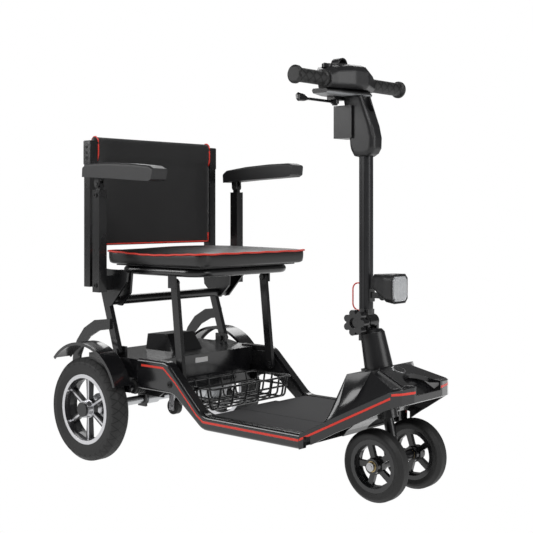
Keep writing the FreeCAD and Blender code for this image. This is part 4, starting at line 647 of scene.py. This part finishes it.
wire(tree, (place.outputs["Object"], rows.inputs["Vector"]),
     (place.outputs["Object"], columns.inputs["Vector"]), (cross, tone.inputs[0]),
     (tone.outputs[2], surface.inputs["Base Color"]), (cross, lift.inputs["Height"]),
     (lift.outputs["Normal"], surface.inputs["Normal"]), (cross, dull.inputs["Value"]),
     (dull.outputs["Result"], surface.inputs["Roughness"]))
low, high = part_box("back_sling")
drop = high.z - low.z


def sling_middle(across, up):
    """Depth of the fabric's middle layer: dished between the uprights, with a few soft ripples."""
    dish = DISH * (1 - across ** 4) * math.sin(math.pi * min(1, 0.10 + up * 0.84))
    ripple = RIPPLE * noise.noise(Vector((across * 2.7, up * 5.8, 3.1)))
    return (low.x + high.x) / 2 - dish + ripple


def sling_half(across, up):
    """Half the fabric's depth: doubled at the hems and folded over the top rail."""
    side = max(0, abs(across) - (1 - HEM_SHARE)) / HEM_SHARE
    hem = side ** 0.5
    flap = max(0, min(1, (up * drop - (drop - FLAP)) / FLAP_EDGE))
    roll = 1 - max(0, up - (1 - ROLL_SHARE)) / ROLL_SHARE * ROLL_THIN
    return (FABRIC_HALF + HEM_HALF * hem + FLAP_HALF * flap * (1 - hem * FLAP_THIN)) * roll


def sling_point(across, up, way):
    """A point of the front (1) or back (-1) of the fabric, from shares of its width and height."""
    depth = sling_middle(across, up) + way * sling_half(across, up)
    return Vector((depth, across * high.y, low.z + drop * up))


bm = bmesh.new()
shares = [-1 + 2 * column / COLUMNS for column in range(COLUMNS + 1)]
rings = []
for row in range(ROWS + 1):
    front = [bm.verts.new(sling_point(share, row / ROWS, 1)) for share in shares]
    back = [bm.verts.new(sling_point(share, row / ROWS, -1)) for share in reversed(shares)]
    rings.append(front + back)
skin(bm, rings)
for ring in (rings[0], rings[-1]):
    for column in range(COLUMNS):
        bm.faces.new((ring[column], ring[column + 1], ring[-2 - column], ring[-1 - column]))
sling = piece("back_sling_cover", bm, weave, "back")
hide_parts("back_sling")

forward = Vector((PIPING_LIFT, 0, 0))
upward = Vector((0, 0, PIPING_LIFT))
for side, across in (("right", -SIDE_PIPING), ("left", SIDE_PIPING)):
    behind = [sling_point(across, up, -1) - forward for up in (0.90, 0.93, 0.96, 0.985)]
    over = [sling_point(across, 1.0, way) + upward for way in (-0.7, 0.0, 0.7)]
    ahead = [sling_point(across, up, 1) + forward for up in (0.985, 0.96, 0.93, 0.90, 0.87, 0.84, 0.81, 0.78)]
    cord_along(f"back_piping_{side}", behind + over + ahead, BACK_PIPING_RADIUS, "back",
               closed=False)
hem = [sling_point(-HEM_PIPING, up, 1) for up in (0.10, 0.07, 0.04)]
hem += [sling_point(HEM_PIPING * share, HEM_HEIGHT, 1) for share in shares]
hem += [sling_point(HEM_PIPING, up, 1) for up in (0.04, 0.07, 0.10)]
hem = [spot + Vector((HEM_LIFT, 0, 0)) for spot in hem]
cord_along("back_hem_piping", hem, BACK_PIPING_RADIUS, "back", closed=False)

# ---- Armrests and their fittings ----------------------------------------------------------------------
# The rests are moulded foam with a leathery skin. Black bolts with a hollow head hold their posts, and the
# uprights of the back have a row of three round adjuster holes in each outer side, each shown as a thin
# near-black disc of painted shade.
BOLT_HEAD = ((0, 0.0055), (0.0022, 0.0055), (0.003, 0.0045), (0.003, 0.0026), (0.0015, 0.0026), (0.0015, 0))
HOLE_DISC = ((0, 0.0036), (0.0005, 0.0036), (0.0005, 0))
UPPER_BOLT_DROP, LOWER_BOLT_RISE = 0.034, 0.016
HOLE_BACK, HOLE_DROP, HOLE_PITCH = 0.0125, 0.016, 0.0135
HOLE_SUNK = 0.0002
foam = material("moulded_foam", (0.014, 0.014, 0.015), (0.022, 0.022, 0.023), 0, 0.48, 1100, 0.5)
# Painted shade: near-black discs stand in for the dark insides of the adjuster holes.
hole_shade_disc = material("hole_shade_disc", (0.003, 0.003, 0.003), (0.006, 0.006, 0.006), 0, 0.8, 800, 0.1)
dress(foam, "armrest_right", "armrest_left")
post_low, post_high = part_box("armrest_posts")
upright_low, upright_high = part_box("back_uprights")
for side, way in (("right", -1), ("left", 1)):
    upper = ((post_low.x + post_high.x) / 2, way * post_high.y, post_high.z - UPPER_BOLT_DROP)
    turned(f"arm_bolt_{side}", upper, (0, way, 0), BOLT_HEAD, bolt_black, "seat")
    lower = (upper[0], upper[1], post_low.z + LOWER_BOLT_RISE)
    turned(f"post_bolt_{side}", lower, (0, way, 0), BOLT_HEAD, bolt_black, "seat")
    for step in range(3):
        spot = (upright_low.x + HOLE_BACK, way * (upright_high.y - HOLE_SUNK),
                upright_high.z - HOLE_DROP - step * HOLE_PITCH)
        turned(f"adjuster_hole_{side}_{step + 1}", spot, (0, way, 0), HOLE_DISC, hole_shade_disc, "back",
               sides=20)
